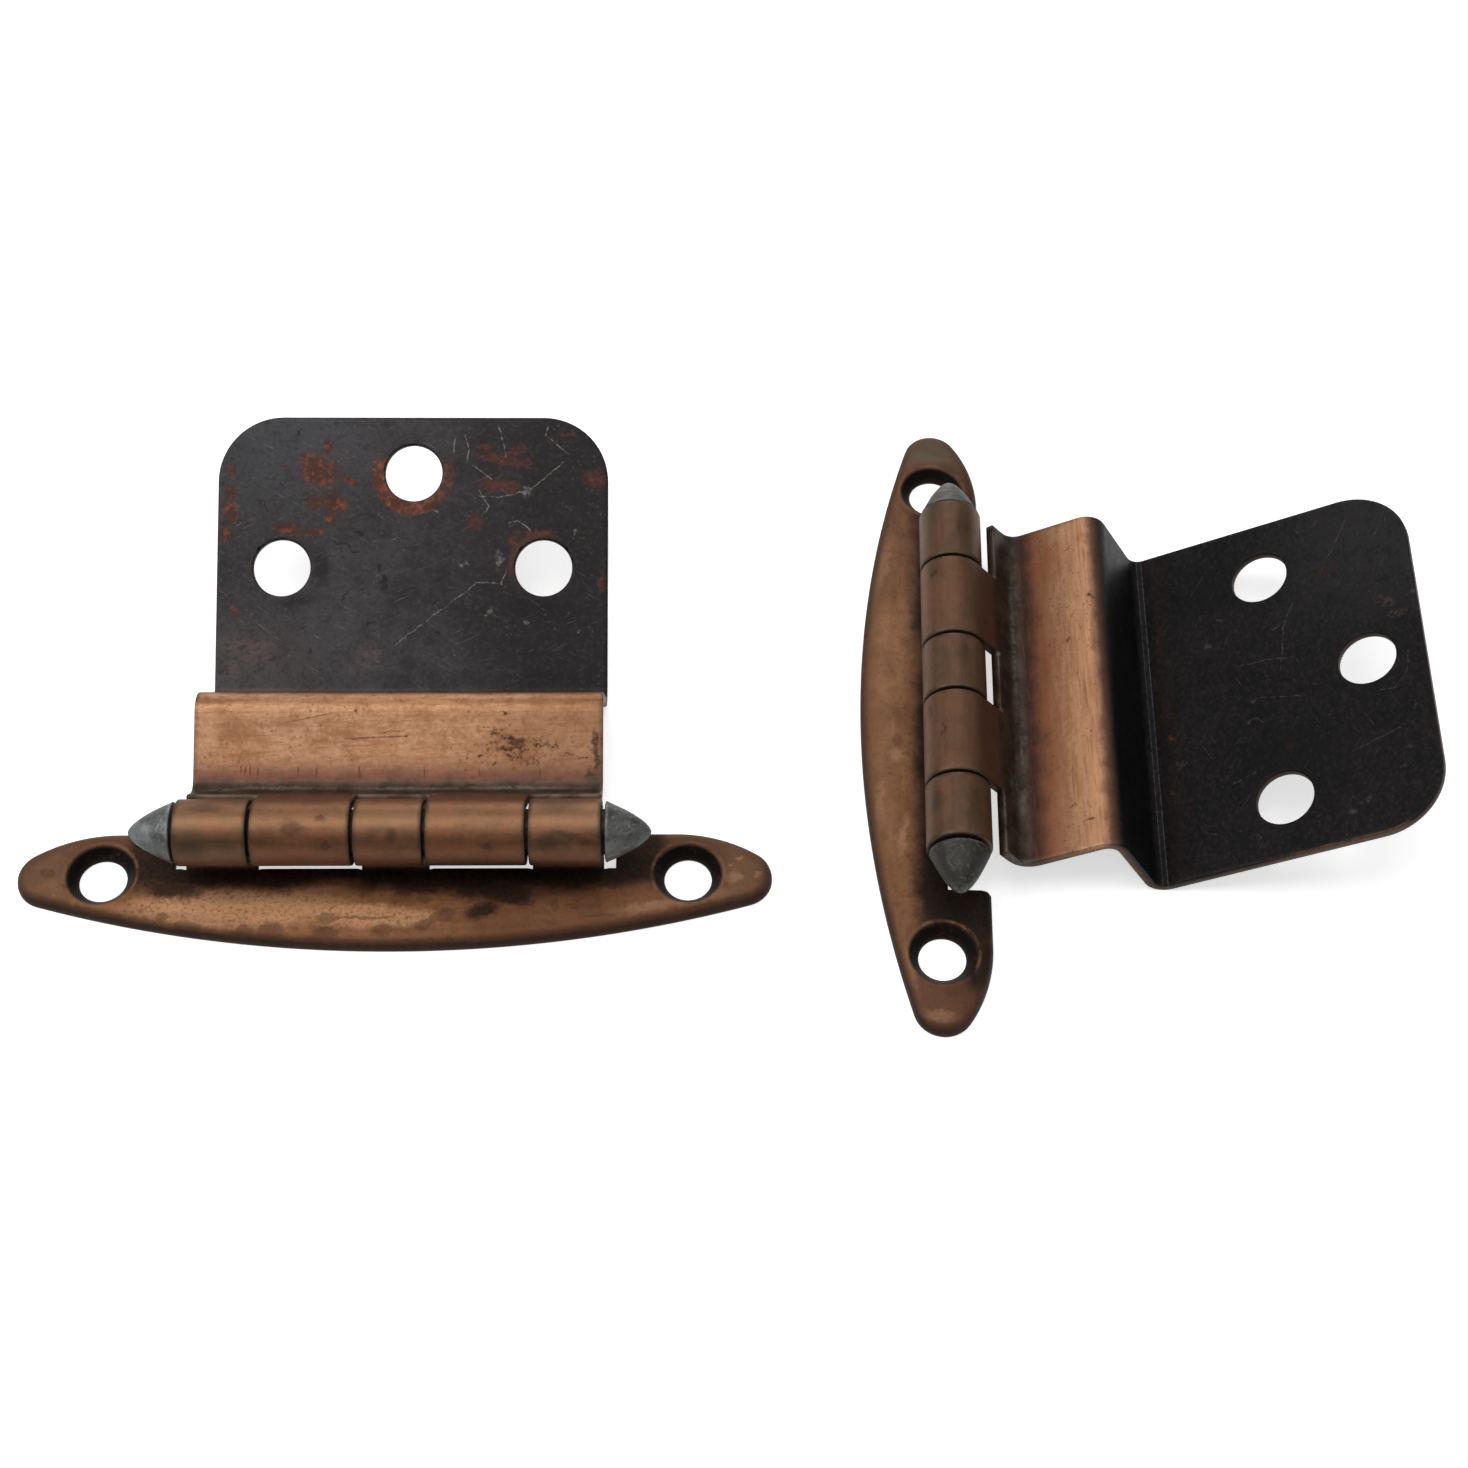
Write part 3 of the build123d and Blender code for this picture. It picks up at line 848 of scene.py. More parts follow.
DOOR_MARKS = {
    "left": {
        "rust": [
            (-9.3, 36, 1.8, 1.5, -20), (-10.2, 37, 0.75, 0.62), (-6.1, 34.8, 0.87, 0.4, -35),
            (-8.4, 38.5, 0.4, 0.45), (-9.6, 33, 0.82, 0.82), (-7.7, 32.7, 1, 1), (-8, 31.2, 0.45, 0.65),
            (-12.3, 30.2, 1.3, 0.5, -10), (-9.6, 29.8, 0.95, 0.4, 10), (-17.8, 36, 0.3, 0.6),
            (-17.8, 33.8, 0.65, 0.5), (-17.9, 31.9, 0.5, 1.1), (-18.2, 29.5, 0.32, 0.75),
            (-17.2, 21.9, 0.25, 0.4, 20), (-15.6, 26.8, 0.15, 0.55),
        ],
        "red": [
            (8.9, 37.1, 2.6, 0.5, -10), (8.4, 34.5, 1.9, 0.6, -8), (10.3, 38, 1, 0.25, 15),
            (17.8, 35.2, 1, 0.8), (15.3, 39.6, 0.9, 0.2, 8), (18.5, 24.9, 0.3, 1), (7, 38.4, 0.65, 0.25),
            (9.8, 29.1, 0.4, 0.65, -20), (12.2, 29.9, 1.5, 0.22), (6.1, 30.9, 0.65, 0.75),
            (-12.7, 36.4, 0.5, 0.25),
        ],
        "pink": [
            (-16, 18.7, 2.2, 1), (-14.8, 17.3, 1.5, 0.62), (-17.6, 16.3, 1, 0.75), (-4.1, 17.6, 1.2, 1.2),
        ],
        "dark": [
            (13.1, 22.4, 2.4, 0.8), (10.5, 22.5, 0.75, 0.75), (-11.2, 23.1, 2.4, 0.55, 10),
            (-8.9, 26.2, 0.75, 1.5),
        ],
        "fleck": [
            (-2.9, 24.9, 0.25, 0.65), (-3.2, 26.2, 0.2, 0.35), (-5.2, 29.8, 0.3, 0.15),
            (-11.4, 39.9, 0.12, 0.22, -30), (-16.9, 31.1, 0.35, 0.15), (-6.2, 28.4, 1, 0.1, -35),
            (-7.6, 29, 0.75, 0.1, -20), (-14.6, 32.7, 1, 0.07, -45), (-10.6, 33.2, 0.6, 0.07, 30),
            (-4, 21, 0.35, 0.2), (-6.6, 23.6, 0.07, 0.8, -30), (-9.9, 18.2, 0.2, 0.25),
            (-0.78, 29.4, 0.75, 0.07, -30), (2.4, 20.1, 0.2, 0.4),
        ],
        "light": [
            (2.2, 31.9, 0.32, 0.17, -30), (7.5, 21.9, 0.3, 0.17, 20), (11.1, 21.1, 0.3, 0.15),
            (16.3, 20.1, 0.1, 0.2), (15.8, 29.9, 0.12, 0.12), (18.4, 21.9, 0.12, 0.1),
            (3.8, 24.6, 0.22, 0.1), (-9.5, 25, 0.1, 0.2), (11.1, 33.9, 0.5, 0.3, 30),
            (8.3, 27.8, 0.3, 0.35), (8.5, 26.9, 0.2, 0.65, -15), (5.1, 26.7, 0.35, 0.15, -10),
        ],
        "scratch": [
            [(-1.6, 18.7), (-1, 19.3), (0.34, 20.3), (3, 22.4), (5.6, 24.3), (6.3, 25), (8.7, 24.8)],
            [(8.3, 40.6), (8.7, 39.1), (9.1, 37.4)], [(5, 39.6), (5.4, 38.1), (5.2, 36.8)],
            [(13.2, 40.4), (12.9, 39.6), (15.2, 37.7)],
            [(14.7, 36.9), (11.4, 34.1), (8.5, 33.4), (6.5, 33.5)], [(5.8, 36.6), (7.7, 35.2)],
            [(6.4, 34.1), (7.4, 32.5), (6.7, 31.5)], [(9.4, 30.8), (10.2, 31.1), (11.5, 30.1)],
            [(9.2, 26.2), (8.6, 24.9)], [(4, 39.1), (3.9, 37.8)],
        ],
        "pit": [
            (10.6, 8.8, 1.1, 0.4, -25), (10.4, 8, 1.2, 0.25), (10.8, 7.3, 1, 0.2, -10),
            (11.5, 8.3, 0.4, 0.75), (8.9, 9.4, 0.45, 0.18), (8.1, 10.1, 0.55, 0.1, -15),
            (9.5, 9.3, 0.25, 0.15), (13.2, 8.3, 0.75, 0.15, -10), (14, 8.2, 0.45, 0.1, -40),
            (12.6, 8.9, 0.55, 0.1, -20), (6.5, 7, 0.2, 0.2), (9, 6.5, 0.2, 0.12),
            (7.6, 7.1, 0.35, 0.15, 20), (9.7, 11.3, 0.4, 0.1), (8.4, 7.9, 0.5, 0.08, 25),
            (15.8, 7.4, 0.75, 0.08, -5), (17.2, 7.1, 0.65, 0.08, -5), (0.83, 9.2, 0.23, 0.12),
            (-4.1, 11.5, 0.2, 0.18, 40), (14.6, 8.3, 0.15, 0.25), (4.8, 8.2, 0.1, 0.2),
        ],
        "stain": [
            (-15.5, 9.8, 1.5, 1), (-10.4, 10.5, 1.8, 0.4, -5), (-14.5, 7.4, 1.5, 0.35),
            (-5, 9.3, 1.5, 0.35), (-12.9, 10.1, 1, 0.25), (-17.2, 12.6, 1.5, 0.25), (-6.9, 8.6, 1.5, 0.25),
            (-0.77, 5.9, 1.6, 0.4), (11, 8.2, 2.2, 1.5),
        ],
        "tick": [
            (-14.6, 6.1, 0.08, 0.4), (-14.2, 6, 0.08, 0.45), (-13.8, 6, 0.08, 0.6), (-13.1, 5.8, 0.08, 0.4),
            (-9.3, 5.9, 0.08, 0.5), (-7.6, 5.7, 0.08, 0.5), (-3.6, 5.7, 0.12, 0.65), (-5, 5.1, 0.75, 0.05),
            (2.4, 5.7, 0.08, 0.55), (2.4, 4.7, 0.12, 0.4), (7.6, 5.6, 0.05, 0.4), (13.2, 5.5, 0.08, 0.45),
            (15, 4.9, 0.3, 0.35), (-3.4, 9, 1.5, 0.07, 4), (-0.7, 9.1, 1.5, 0.08, 4),
            (-0.8, 9.6, 1.4, 0.05, 5), (-8.3, 10.9, 2.3, 0.04, 11),
        ],
        "worn_dark": [
            (18.4, 8.4, 0.38, 1.2), (18.1, 4.9, 0.65, 1), (16.5, 4.3, 1.5, 0.3), (18.6, 6.9, 0.2, 1),
        ],
        # Valley streaks: painted highlights, partly scratches
        "valley": [
            (-10.5, 4.3, 3.5, 0.16), (1, 4.2, 4.5, 0.14), (11.5, 4.3, 4.5, 0.16), (-16.5, 4.1, 1.4, 0.16),
        ],
        "barrel": [
            (-5.9, 1.2, 0.45, 0.3), (-5.5, -1.2, 0.4, 0.35), (8.9, -1.4, 0.6, 0.4), (-8.5, 0.3, 1, 0.7),
        ],
    },
    "right": {
        "rust": [(9.3, 15.6, 0.3, 0.2), (3.1, 16, 0.4, 0.18, 30)],
        "red": [
            (-0.31, 15.7, 1.8, 0.35), (-9.1, 15.6, 1.8, 0.35), (-11.1, 33, 0.47, 0.77),
            (7.4, 27.7, 0.27, 0.47), (11.7, 16.7, 0.29, 0.41),
        ],
        "pink": [(-5.7, 38.5, 0.41, 0.89, -20), (-4.1, 39.2, 0.41, 0.77), (-6, 38, 0.41, 0.35)],
        "dark": [(-13, 21, 3, 3.5), (9, 27, 4, 5)],
        "fleck": [(2, 31, 0.9, 0.1, 70), (11, 24.5, 0.8, 0.08, 20), (-4, 24, 0.7, 0.08, -30)],
        "light": [
            (1.4, 24.5, 0.24, 0.24), (3.6, 23.9, 0.15, 0.24), (12.8, 37.6, 0.21, 0.21),
            (6.9, 39.8, 0.18, 0.18), (-9.7, 20, 0.27, 0.21), (-9, 22.2, 0.21, 0.35, 30),
            (15.3, 33.8, 0.25, 0.5, 20), (16.2, 32.5, 0.35, 0.4), (10.8, 38.6, 0.21, 0.21),
            (-6.2, 20.5, 0.25, 0.4), (6.4, 16.9, 0.4, 0.35), (-15.5, 39.3, 0.15, 0.15),
            (16.3, 23.7, 0.15, 0.24), (-6, 41, 0.18, 0.35),
        ],
        "scratch": [
            [(-8.5, 29.4), (-6.3, 28.3), (-1.3, 27.5)], [(-3, 23.3), (-2.9, 26.1), (-2.4, 28.9)],
            [(3.5, 23.9), (3.4, 24.6), (4.1, 25.2)], [(9.8, 33.3), (9.2, 35.5), (8.6, 38)],
            [(10, 21.7), (9.4, 23.9)], [(-6.1, 27.2), (-6.8, 28.6)],
            [(0.42, 39.7), (2.6, 39.4), (4.2, 38), (3.9, 36.4)], [(14.6, 18.9), (15.3, 20.1)],
            [(1.1, 24.7), (2.4, 29.5)], [(-13.2, 33.8), (-16.9, 35.8)],
        ],
        "pit": [
            (-4.6, 9.6, 0.32, 0.25), (-15.6, 10.2, 0.11, 0.29), (-9.4, 12.3, 0.6, 0.12),
            (3.9, 6.4, 0.15, 0.15), (16, 10.8, 0.15, 0.5), (14.1, 9.2, 0.15, 0.22),
        ],
        "stain": [(-14.3, 8, 1.6, 0.8), (-3, 7.4, 4, 0.5), (9, 7.2, 3.5, 0.5)],
        "tick": [
            (-13, 11.9, 2.2, 0.06), (2, 11.2, 2.8, 0.06, 1), (10, 9.4, 2.6, 0.06, -1), (-7, 9, 2, 0.05),
        ],
        "worn_dark": [(18.7, 4.6, 0.4, 0.8)],
        "barrel": [(7.8, 0.1, 0.75, 0.16), (-10.5, -0.5, 0.4, 0.3), (5.2, -1.4, 0.8, 0.3)],
        # Valley streaks: painted highlights, partly scratches
        "valley": [
            (13, 4.3, 1.5, 0.3, -4), (13.8, 4.4, 0.59, 0.22, -10), (11, 3.9, 1.8, 0.12, -2),
            (7.5, 4.5, 1.5, 0.12), (5.3, 4.7, 0.18, 0.3), (-6, 4.2, 6.5, 0.14),
        ],
    },
}


# Materials of the pieces


def frame_copper(side):
    """Old copper plate, lighter in patches, with a painted sheen on the left leaf, painted shade beside the
    barrel, on the rim and in the screw sinks, and painted light and shade on the knuckles.
    """
    look = Look(side + "_frame_copper", place_of(side))
    mix, over, mul, add, most, invert, scaled, step, within, spots, noise = look.short_names()
    marks = FRAME_MARKS[side]
    left = side == "left"
    edge = look.attribute("edge")
    face = look.attribute("face")
    large = noise(0.14, 5)
    middle = noise(0.55, 5, 0.65)
    fine = noise(2.6, 5, 0.72)
    brushed = noise(1.0, 4, 0.62, look.moved((0.2, 1.7, 1.7)))
    aside = look.math("ABSOLUTE", look.x)
    knuckle = mul(step(look.y, -0.6, 0.2), step(aside, BARREL_END + 0.3, BARREL_END + 0.9, 1.0, 0.0))
    colour = mix(step(large, 0.36, 0.64), srgb(170, 121, 86), srgb(150, 103, 71))
    colour = look.clouds(colour, [
        ((124, 83, 56), middle, 0.38, 0.7, 0.75),
        ((190, 142, 105), brushed, 0.5, 0.74, 0.35),
        ((106, 71, 50), fine, 0.5, 0.74, 0.6),
    ])
    if left:
        # A lighter zone across the middle of the leaf: partly paler copper, partly a painted sheen of its
        # crowned face
        bright = spots([(-14.5, -5.0, 9.5, 2.1, 3), (-2.0, -5.8, 6.0, 1.2, -2)], 0.3)
        colour = over(colour, (212, 162, 120), bright, step(fine, 0.66, 0.42, 0.25, 0.8))
        colour = over(colour, (108, 71, 49), step(look.ragged[0], 0.0, 12.0), 0.62)
    else:
        # Painted shade, partly tarnish, in a dark purple-brown strip along the barrel
        colour = over(colour, (60, 41, 38), step(look.ragged[1], -4.8, -2.2, 0.0, 0.85))
        colour = over(colour, (186, 136, 104), within(look.ragged[1], -7.9, -5.6, 0.7), 0.2)
        colour = over(colour, (104, 82, 64), 0.28)
        colour = over(colour, (98, 66, 52), step(look.ragged[0], -8.0, -20.0), 0.45)
    tips = mul(step(aside, 26.5, 31.0), step(middle, 0.3, 0.6, 0.55, 0.95))
    colour = over(colour, (118, 88, 66) if left else (116, 80, 60), tips)
    if not left:
        colour = over(colour, (106, 97, 82), step(look.ragged[0], -29.5, -32.0), 0.85)
    colour = over(colour, (196, 150, 116), spots(marks["glow"], 0.6), 0.4)
    blots = spots(marks["blot"], 0.2, look.medium)
    strong = 0.8 if left else 0.45
    colour = over(colour, (88, 63, 47), blots, step(fine, 0.3, 0.66, strong, 0.4 * strong))
    wander = scaled(noise(0.2, 4, 0.6), 4.6, -2.3)
    # Dark beside the barrel: tarnish where buffing does not reach, with painted shade of the barrel and door
    # leaf over it
    tarnish_and_shade = step(add(look.y, wander), -3.7, -1.9)
    tarnish_and_shade = mul(tarnish_and_shade, step(aside, 24.0, 26.5, 1.0, 0.15))
    tarnish_and_shade = most(tarnish_and_shade, mul(spots(marks["shade"], 0.55), 0.95))
    tarnish_and_shade = mul(tarnish_and_shade, invert(knuckle), step(fine, 0.35, 0.85, 1.0, 0.8))
    colour = over(colour, (34, 27, 24), tarnish_and_shade, 0.97)
    border = within(add(look.y, wander), -5.4, -2.2, 1.0)
    pits = mul(step(fine, 0.57, 0.66), step(middle, 0.4, 0.6), add(mul(border, 0.45), 0.1), invert(knuckle))
    colour = over(colour, (58, 41, 33), pits)
    barrel = mix(step(brushed, 0.36, 0.68), srgb(112, 76, 54), srgb(126, 86, 61))
    barrel = look.clouds(barrel, [
        ((92, 70, 50), middle, 0.42, 0.62, 0.7),
        ((102, 82, 62), large, 0.46, 0.6, 0.7),
    ])
    if left:
        # Painted highlight along the upper part of the knuckles and painted shade on their lower part
        barrel = over(barrel, (172, 130, 98), within(look.y, 9.3, 10.9, 0.8), 0.5)
        barrel = over(barrel, (88, 56, 42), step(look.y, 12.4, 14.4), 0.65)
    else:
        barrel = over(barrel, (98, 84, 72), 0.35)
    barrel = over(barrel, (60, 50, 42), spots(marks["barrel"], 0.6, look.medium), 0.5 if left else 0.4)
    barrel = over(barrel, (66, 58, 48), step(edge, 0.08, 0.5, 1.0, 0.0), 0.65)
    colour = mix(knuckle, colour, barrel)
    hole = look.math("MINIMUM", *[look.distance(s * SCREW_SPACING / 2, -SCREW_REACH) for s in (-1, 1)])
    # Painted shade in the screw sinks, with painted glints of copper in patches
    sink_shade = step(hole, SINK - 0.25, SINK + 0.12, 1.0, 0.0)
    painted_glint = mul(step(middle, 0.5, 0.64), step(fine, 0.4, 0.6))
    colour = mix(sink_shade, colour, mix(mul(painted_glint, 0.35), srgb(24, 18, 18), srgb(124, 80, 58)))
    # A painted highlight on the edge of each sink
    lip = mul(within(hole, SINK + 0.02, SINK + 0.3, 0.1), step(middle, 0.4, 0.62))
    colour = over(colour, (166, 122, 94), lip, 0.4)
    bare = invert(most(tarnish_and_shade, sink_shade))
    # Painted shade between the sinks and the barrel
    shoulder_shade = mul(step(hole, SINK + 0.2, SINK + 1.8, 1.0, 0.0), bare, step(look.y, -1.2, 1.0))
    colour = over(colour, (60, 45, 37), shoulder_shade, 0.55)
    open_edge = invert(knuckle)
    # Painted shade on the rounded rim and the slope inside it, partly a darker brown edge
    rim = mul(step(add(edge, mul(middle, 0.9)), 0.6, 1.4, 1.0, 0.0), open_edge, bare)
    slope = mul(step(edge, 0.8, 2.1, 1.0, 0.0), open_edge, bare)
    colour = over(colour, (98, 68, 50), slope, 0.42)
    colour = over(colour, (82, 56, 41), rim, 0.76)
    outline = mul(step(add(edge, mul(middle, 0.3)), 0.2, 0.48, 1.0, 0.0), open_edge)
    colour = over(colour, (46, 35, 30), outline, 0.85)
    back = mix(step(large, 0.36, 0.62), srgb(74, 56, 45), srgb(54, 44, 38))
    back = over(back, (40, 33, 30), step(fine, 0.46, 0.7, 0.0, 0.6))
    back = over(back, (104, 74, 57), step(edge, 0.15, 0.9, 0.6, 0.0))
    colour = mix(most(face, knuckle), back, colour)
    dark = most(tarnish_and_shade, sink_shade, mul(blots, 0.4), rim, slope)
    rough = add(look.linear(add(fine, brushed), 0.7, 1.3, 0.4, 0.56), mul(dark, 0.18))
    normal = look.bump(brushed, 0.1, 0.12)
    normal = look.bump(fine, 0.32, 0.06, normal)
    return look.close(colour, rough, 0.88, normal)


def door_copper(side):
    """A sheet darkened all over, with the copper of its band and knuckles worn bright, a painted highlight
    and painted shade on the knuckles, and painted highlights and shade along the bends.
    """
    look = Look(side + "_door_copper", place_of(side) @ leaf_turn())
    mix, over, mul, add, most, invert, scaled, step, within, spots, noise = look.short_names()
    marks = DOOR_MARKS[side]
    left = side == "left"
    at = door_fold()[1]
    fold = look.attribute("fold")
    edge = look.attribute("edge")
    face = look.attribute("face")
    large = noise(0.12, 5)
    middle = noise(0.5, 5, 0.65)
    fine = noise(2.2, 5, 0.7)
    brushed = noise(1.0, 5, 0.66, look.moved((0.2, 2.0, 2.0)))

    # The band
    band = mix(step(brushed, 0.34, 0.7), srgb(172, 126, 92), srgb(194, 149, 113))
    band = look.clouds(band, [
        ((196, 156, 124), large, 0.4, 0.62, 0.55),
        ((158, 108, 74), middle, 0.4, 0.66, 0.75),
        ((136, 93, 65), fine, 0.5, 0.74, 0.6),
        ((208, 166, 132), fine, 0.5, 0.3, 0.4),
    ])
    band = over(band, (138, 92, 61), spots(marks["stain"], 0.7), 0.5)
    wobble = scaled(middle, 2.6, look.sub(look.y, 1.3))
    if left:
        band = over(band, (120, 78, 52), step(look.ragged[0], 4.0, 16.0), 0.4)
        band = over(band, (112, 74, 62), step(wobble, 4.9, 7.4, 0.95, 0.0))
        band = over(band, (52, 42, 38), step(look.ragged[1], 4.0, 5.5, 0.95, 0.0))
    else:
        band = over(band, (130, 80, 56), step(wobble, 6.0, 10.4, 0.9, 0.0))
        band = over(band, (66, 47, 43), step(wobble, 5.2, 7.4, 0.95, 0.0))
        worn = mul(within(wobble, 10.2, 12.6, 1.2), step(brushed, 0.35, 0.6, 0.35, 0.8))
        band = over(band, (208, 156, 118), worn)
        # Painted shade on the bend past the brow, partly a dark brown line along its top edge
        brow = step(scaled(middle, 0.8, fold), at["brow"] + 0.5, at["brow"] + 1.6, 0.0, 0.8)
        band = over(band, (88, 62, 57), brow)
    ticks = mul(
        spots(marks["tick"], 0.45, look.slight), step(fine, 0.25, 0.5, 0.4, 0.8), 1.0 if left else 0.4
    )
    band = over(band, (96, 62, 50), ticks)
    pits = mul(spots(marks["pit"], 0.5), step(fine, 0.36, 0.56, 0.2, 1.0))
    if left:
        cluster = mul(spots([(10.9, 8.1, 3.4, 1.6, -12)], 0.6), step(fine, 0.54, 0.62))
        pits = most(pits, mul(cluster, 0.75))
    grains = look.specks(1.5, 0.17, 0.46, 0.6)
    band = over(band, (76, 52, 41), most(mul(pits, 0.9), mul(grains, 0.4)))
    band = over(band, (60, 51, 46), spots(marks["worn_dark"], 0.5), step(fine, 0.3, 0.55, 0.5, 0.9))
    streaks = mul(look.hairs(5.0, 0.4, 3, 0.54, 0.7), 0.45)
    band = over(band, (132, 86, 58), streaks)
    sides = mul(step(edge, 0.1, 0.6, 1.0, 0.0), step(middle, 0.3, 0.6, 0.3, 0.9))
    band = over(band, (84, 62, 50), sides, 0.6)

    # The knuckles and the neck that joins them to the lip
    barrel = mix(step(brushed, 0.34, 0.7), srgb(118, 78, 54), srgb(129, 87, 61))
    barrel = over(barrel, (98, 71, 50), step(middle, 0.42, 0.64, 0.0, 0.65))
    if left:
        # Painted highlight along the upper part of the knuckles and painted shade on their lower part
        barrel = over(barrel, (172, 130, 98), within(look.y, 0.4, 2.0, 0.9), 0.45)
        barrel = over(barrel, (88, 56, 42), step(look.y, -1.2, -2.9), 0.65)
    else:
        barrel = over(barrel, (98, 84, 72), 0.3)
    barrel = over(barrel, (84, 60, 46), step(fine, 0.52, 0.76, 0.0, 0.5))
    barrel = over(barrel, (68, 58, 48), step(edge, 0.08, 0.45, 1.0, 0.0), 0.65)
    barrel = over(barrel, (56, 44, 36), spots(marks["barrel"], 0.5), 0.55)
    neck = step(fold, at["neck"] - 1.6, at["neck"] + 0.2)
    barrel = over(barrel, (78, 57, 45), neck, 0.6)

    # The plate and the step
    if left:
        plate = mix(step(large, 0.36, 0.64), srgb(64, 62, 64), srgb(52, 50, 51))
        plate = over(plate, (36, 34, 34), step(scaled(large, 14, look.x), 2.0, 20.0, 0.0, 0.92))
        upper = mul(step(look.y, 26.0, 38.0), step(look.x, 2.0, -12.0))
        plate = over(plate, (68, 69, 72), upper, 0.45)
        low_left = mul(step(look.ragged[1], 24.0, 17.0), step(look.x, -4.0, -15.0))
        plate = over(plate, (84, 76, 76), low_left, 0.5)
        tones = srgb(76, 70, 69), srgb(38, 35, 35), srgb(32, 30, 30)
        wall = srgb(38, 33, 31)
    else:
        plate = mix(step(large, 0.36, 0.64), srgb(29, 27, 28), srgb(23, 22, 23))
        upper = mul(step(look.x, 2.0, -14.0), step(look.ragged[1], 22.0, 36.0))
        plate = over(plate, (50, 49, 49), upper, 0.75)
        strip = within(scaled(middle, 0.8, fold), at["plate"] + 0.9, at["plate"] + 2.4, 0.5)
        plate = over(plate, (40, 30, 26), strip, 0.6)
        tones = srgb(44, 38, 36), srgb(18, 17, 18), srgb(20, 19, 19)
        wall = srgb(110, 80, 63)
    speckle = step(look.x, -2.0, 12.0, 0.55, 0.3) if left else 0.8
    plate = mix(mul(step(fine, 0.48, 0.68), speckle), plate, tones[0])
    plate = mix(step(middle, 0.48, 0.7, 0.0, 0.5), plate, tones[1])
    plate = mix(step(fine, 0.5, 0.28, 0.0, 0.6), plate, tones[1])
    plate = mix(mul(spots(marks["dark"], 0.8), 0.65), plate, tones[2])
    plate = over(plate, (110, 84, 78), spots(marks["pink"], 0.6), 0.35, step(fine, 0.4, 0.6))
    red = mul(spots(marks["red"], 0.6), step(fine, 0.34, 0.62, 0.2, 0.75))
    plate = over(plate, (92, 51, 43) if left else (52, 33, 28), red)
    crust = noise(1.3, 5, 0.7, look.moved(shift=(3, 9, 0)))
    rust = mul(spots(marks["rust"], 0.6), step(crust, 0.34, 0.56, 0.35, 0.9))
    rust_colour = mix(step(crust, 0.46, 0.66), srgb(80, 47, 38), srgb(128, 77, 56))
    plate = mix(rust, plate, rust_colour)
    if left:
        ring = look.distance(0, PLATE_SINGLE - 0.25)
        ring = mul(
            within(scaled(middle, 0.5, ring), PLATE_HOLE, PLATE_HOLE + 1.45, 0.14),
            step(look.y, 36.2, 38.0, 1.0, 0.0),
        )
        ring = mul(ring, step(scaled(fine, 4.0, look.x), 0.0, 7.0, 0.95, 0.35))
        plate = mix(mul(ring, step(crust, 0.3, 0.5, 0.6, 1.0)), plate, rust_colour)
        ring = look.distance(PAIR_HALF, PLATE_PAIR)
        ring = mul(
            within(ring, PLATE_HOLE, PLATE_HOLE + 0.7, 0.3), step(look.sub(look.y, look.x), 14.0, 18.0)
        )
        plate = over(plate, (92, 60, 50), ring, 0.55)
    plate = over(plate, (24, 21, 21), spots(marks["fleck"], 0.5), 0.65)
    broken = step(fine, 0.4, 0.62, 0.1, 1.0)
    pale = most(
        mul(look.scratches(marks["scratch"], 0.065), broken, 0.7 if left else 0.36),
        mul(spots(marks["light"], 0.6), broken, 0.5 if left else 0.3),
        mul(grains, 0.09),
        mul(look.hairs(6.0, 0.45, 24, 0.58, 0.74), step(middle, 0.46, 0.66), 0.24),
        mul(look.hairs(6.0, 0.4, -31, 0.58, 0.74, (20, 0, 0)), step(middle, 0.54, 0.36), 0.24),
    )
    plate = over(plate, (150, 142, 138) if left else (112, 106, 101), pale)
    worn_edge = mul(step(scaled(middle, 0.5, edge), 0.24, 0.46, 1.0, 0.0), 0.75)
    if not left:
        corner = step(add(scaled(large, 12, look.x), look.y), 46.0, 58.0)
        outside = most(step(look.x, 18.3, 18.8), step(look.y, 41.1, 41.6))
        worn_edge = mul(worn_edge, corner, outside, step(fine, 0.3, 0.6, 0.4, 1.0))
        # Two pale lines along the foot bend: painted highlights, partly wear
        bend_wear_and_highlight = most(
            within(fold, at["foot"] + 1.5, at["foot"] + 1.56, 0.06),
            within(fold, at["foot"] + 2.15, at["foot"] + 2.25, 0.07),
        )
        plate = over(plate, (104, 104, 104), bend_wear_and_highlight, step(fine, 0.34, 0.6, 0.2, 0.7))
    plate = mix(worn_edge, plate, wall)

    # The valley between lip and band
    valley_tones = (srgb(68, 55, 47), srgb(96, 76, 65)) if left else (srgb(56, 46, 39), srgb(80, 66, 56))
    valley = mix(step(middle, 0.38, 0.64), *valley_tones)
    valley = over(valley, (98, 90, 78), step(fine, 0.5, 0.72, 0.0, 0.5))
    # Pale streaks along the valley: painted highlights, partly scratches
    valley_scratches_and_sheen = mul(spots(marks["valley"], 0.6, look.slight), step(fine, 0.35, 0.6))
    valley = over(valley, (128, 128, 116) if left else (106, 108, 98), valley_scratches_and_sheen, 0.55)
    # Pale lip edges: a painted highlight, partly wear
    lit_and_worn_lip_edge = mul(step(edge, 0.05, 0.35, 1.0, 0.0), step(middle, 0.35, 0.6))
    valley = over(valley, (118, 110, 98), lit_and_worn_lip_edge, 0.55)

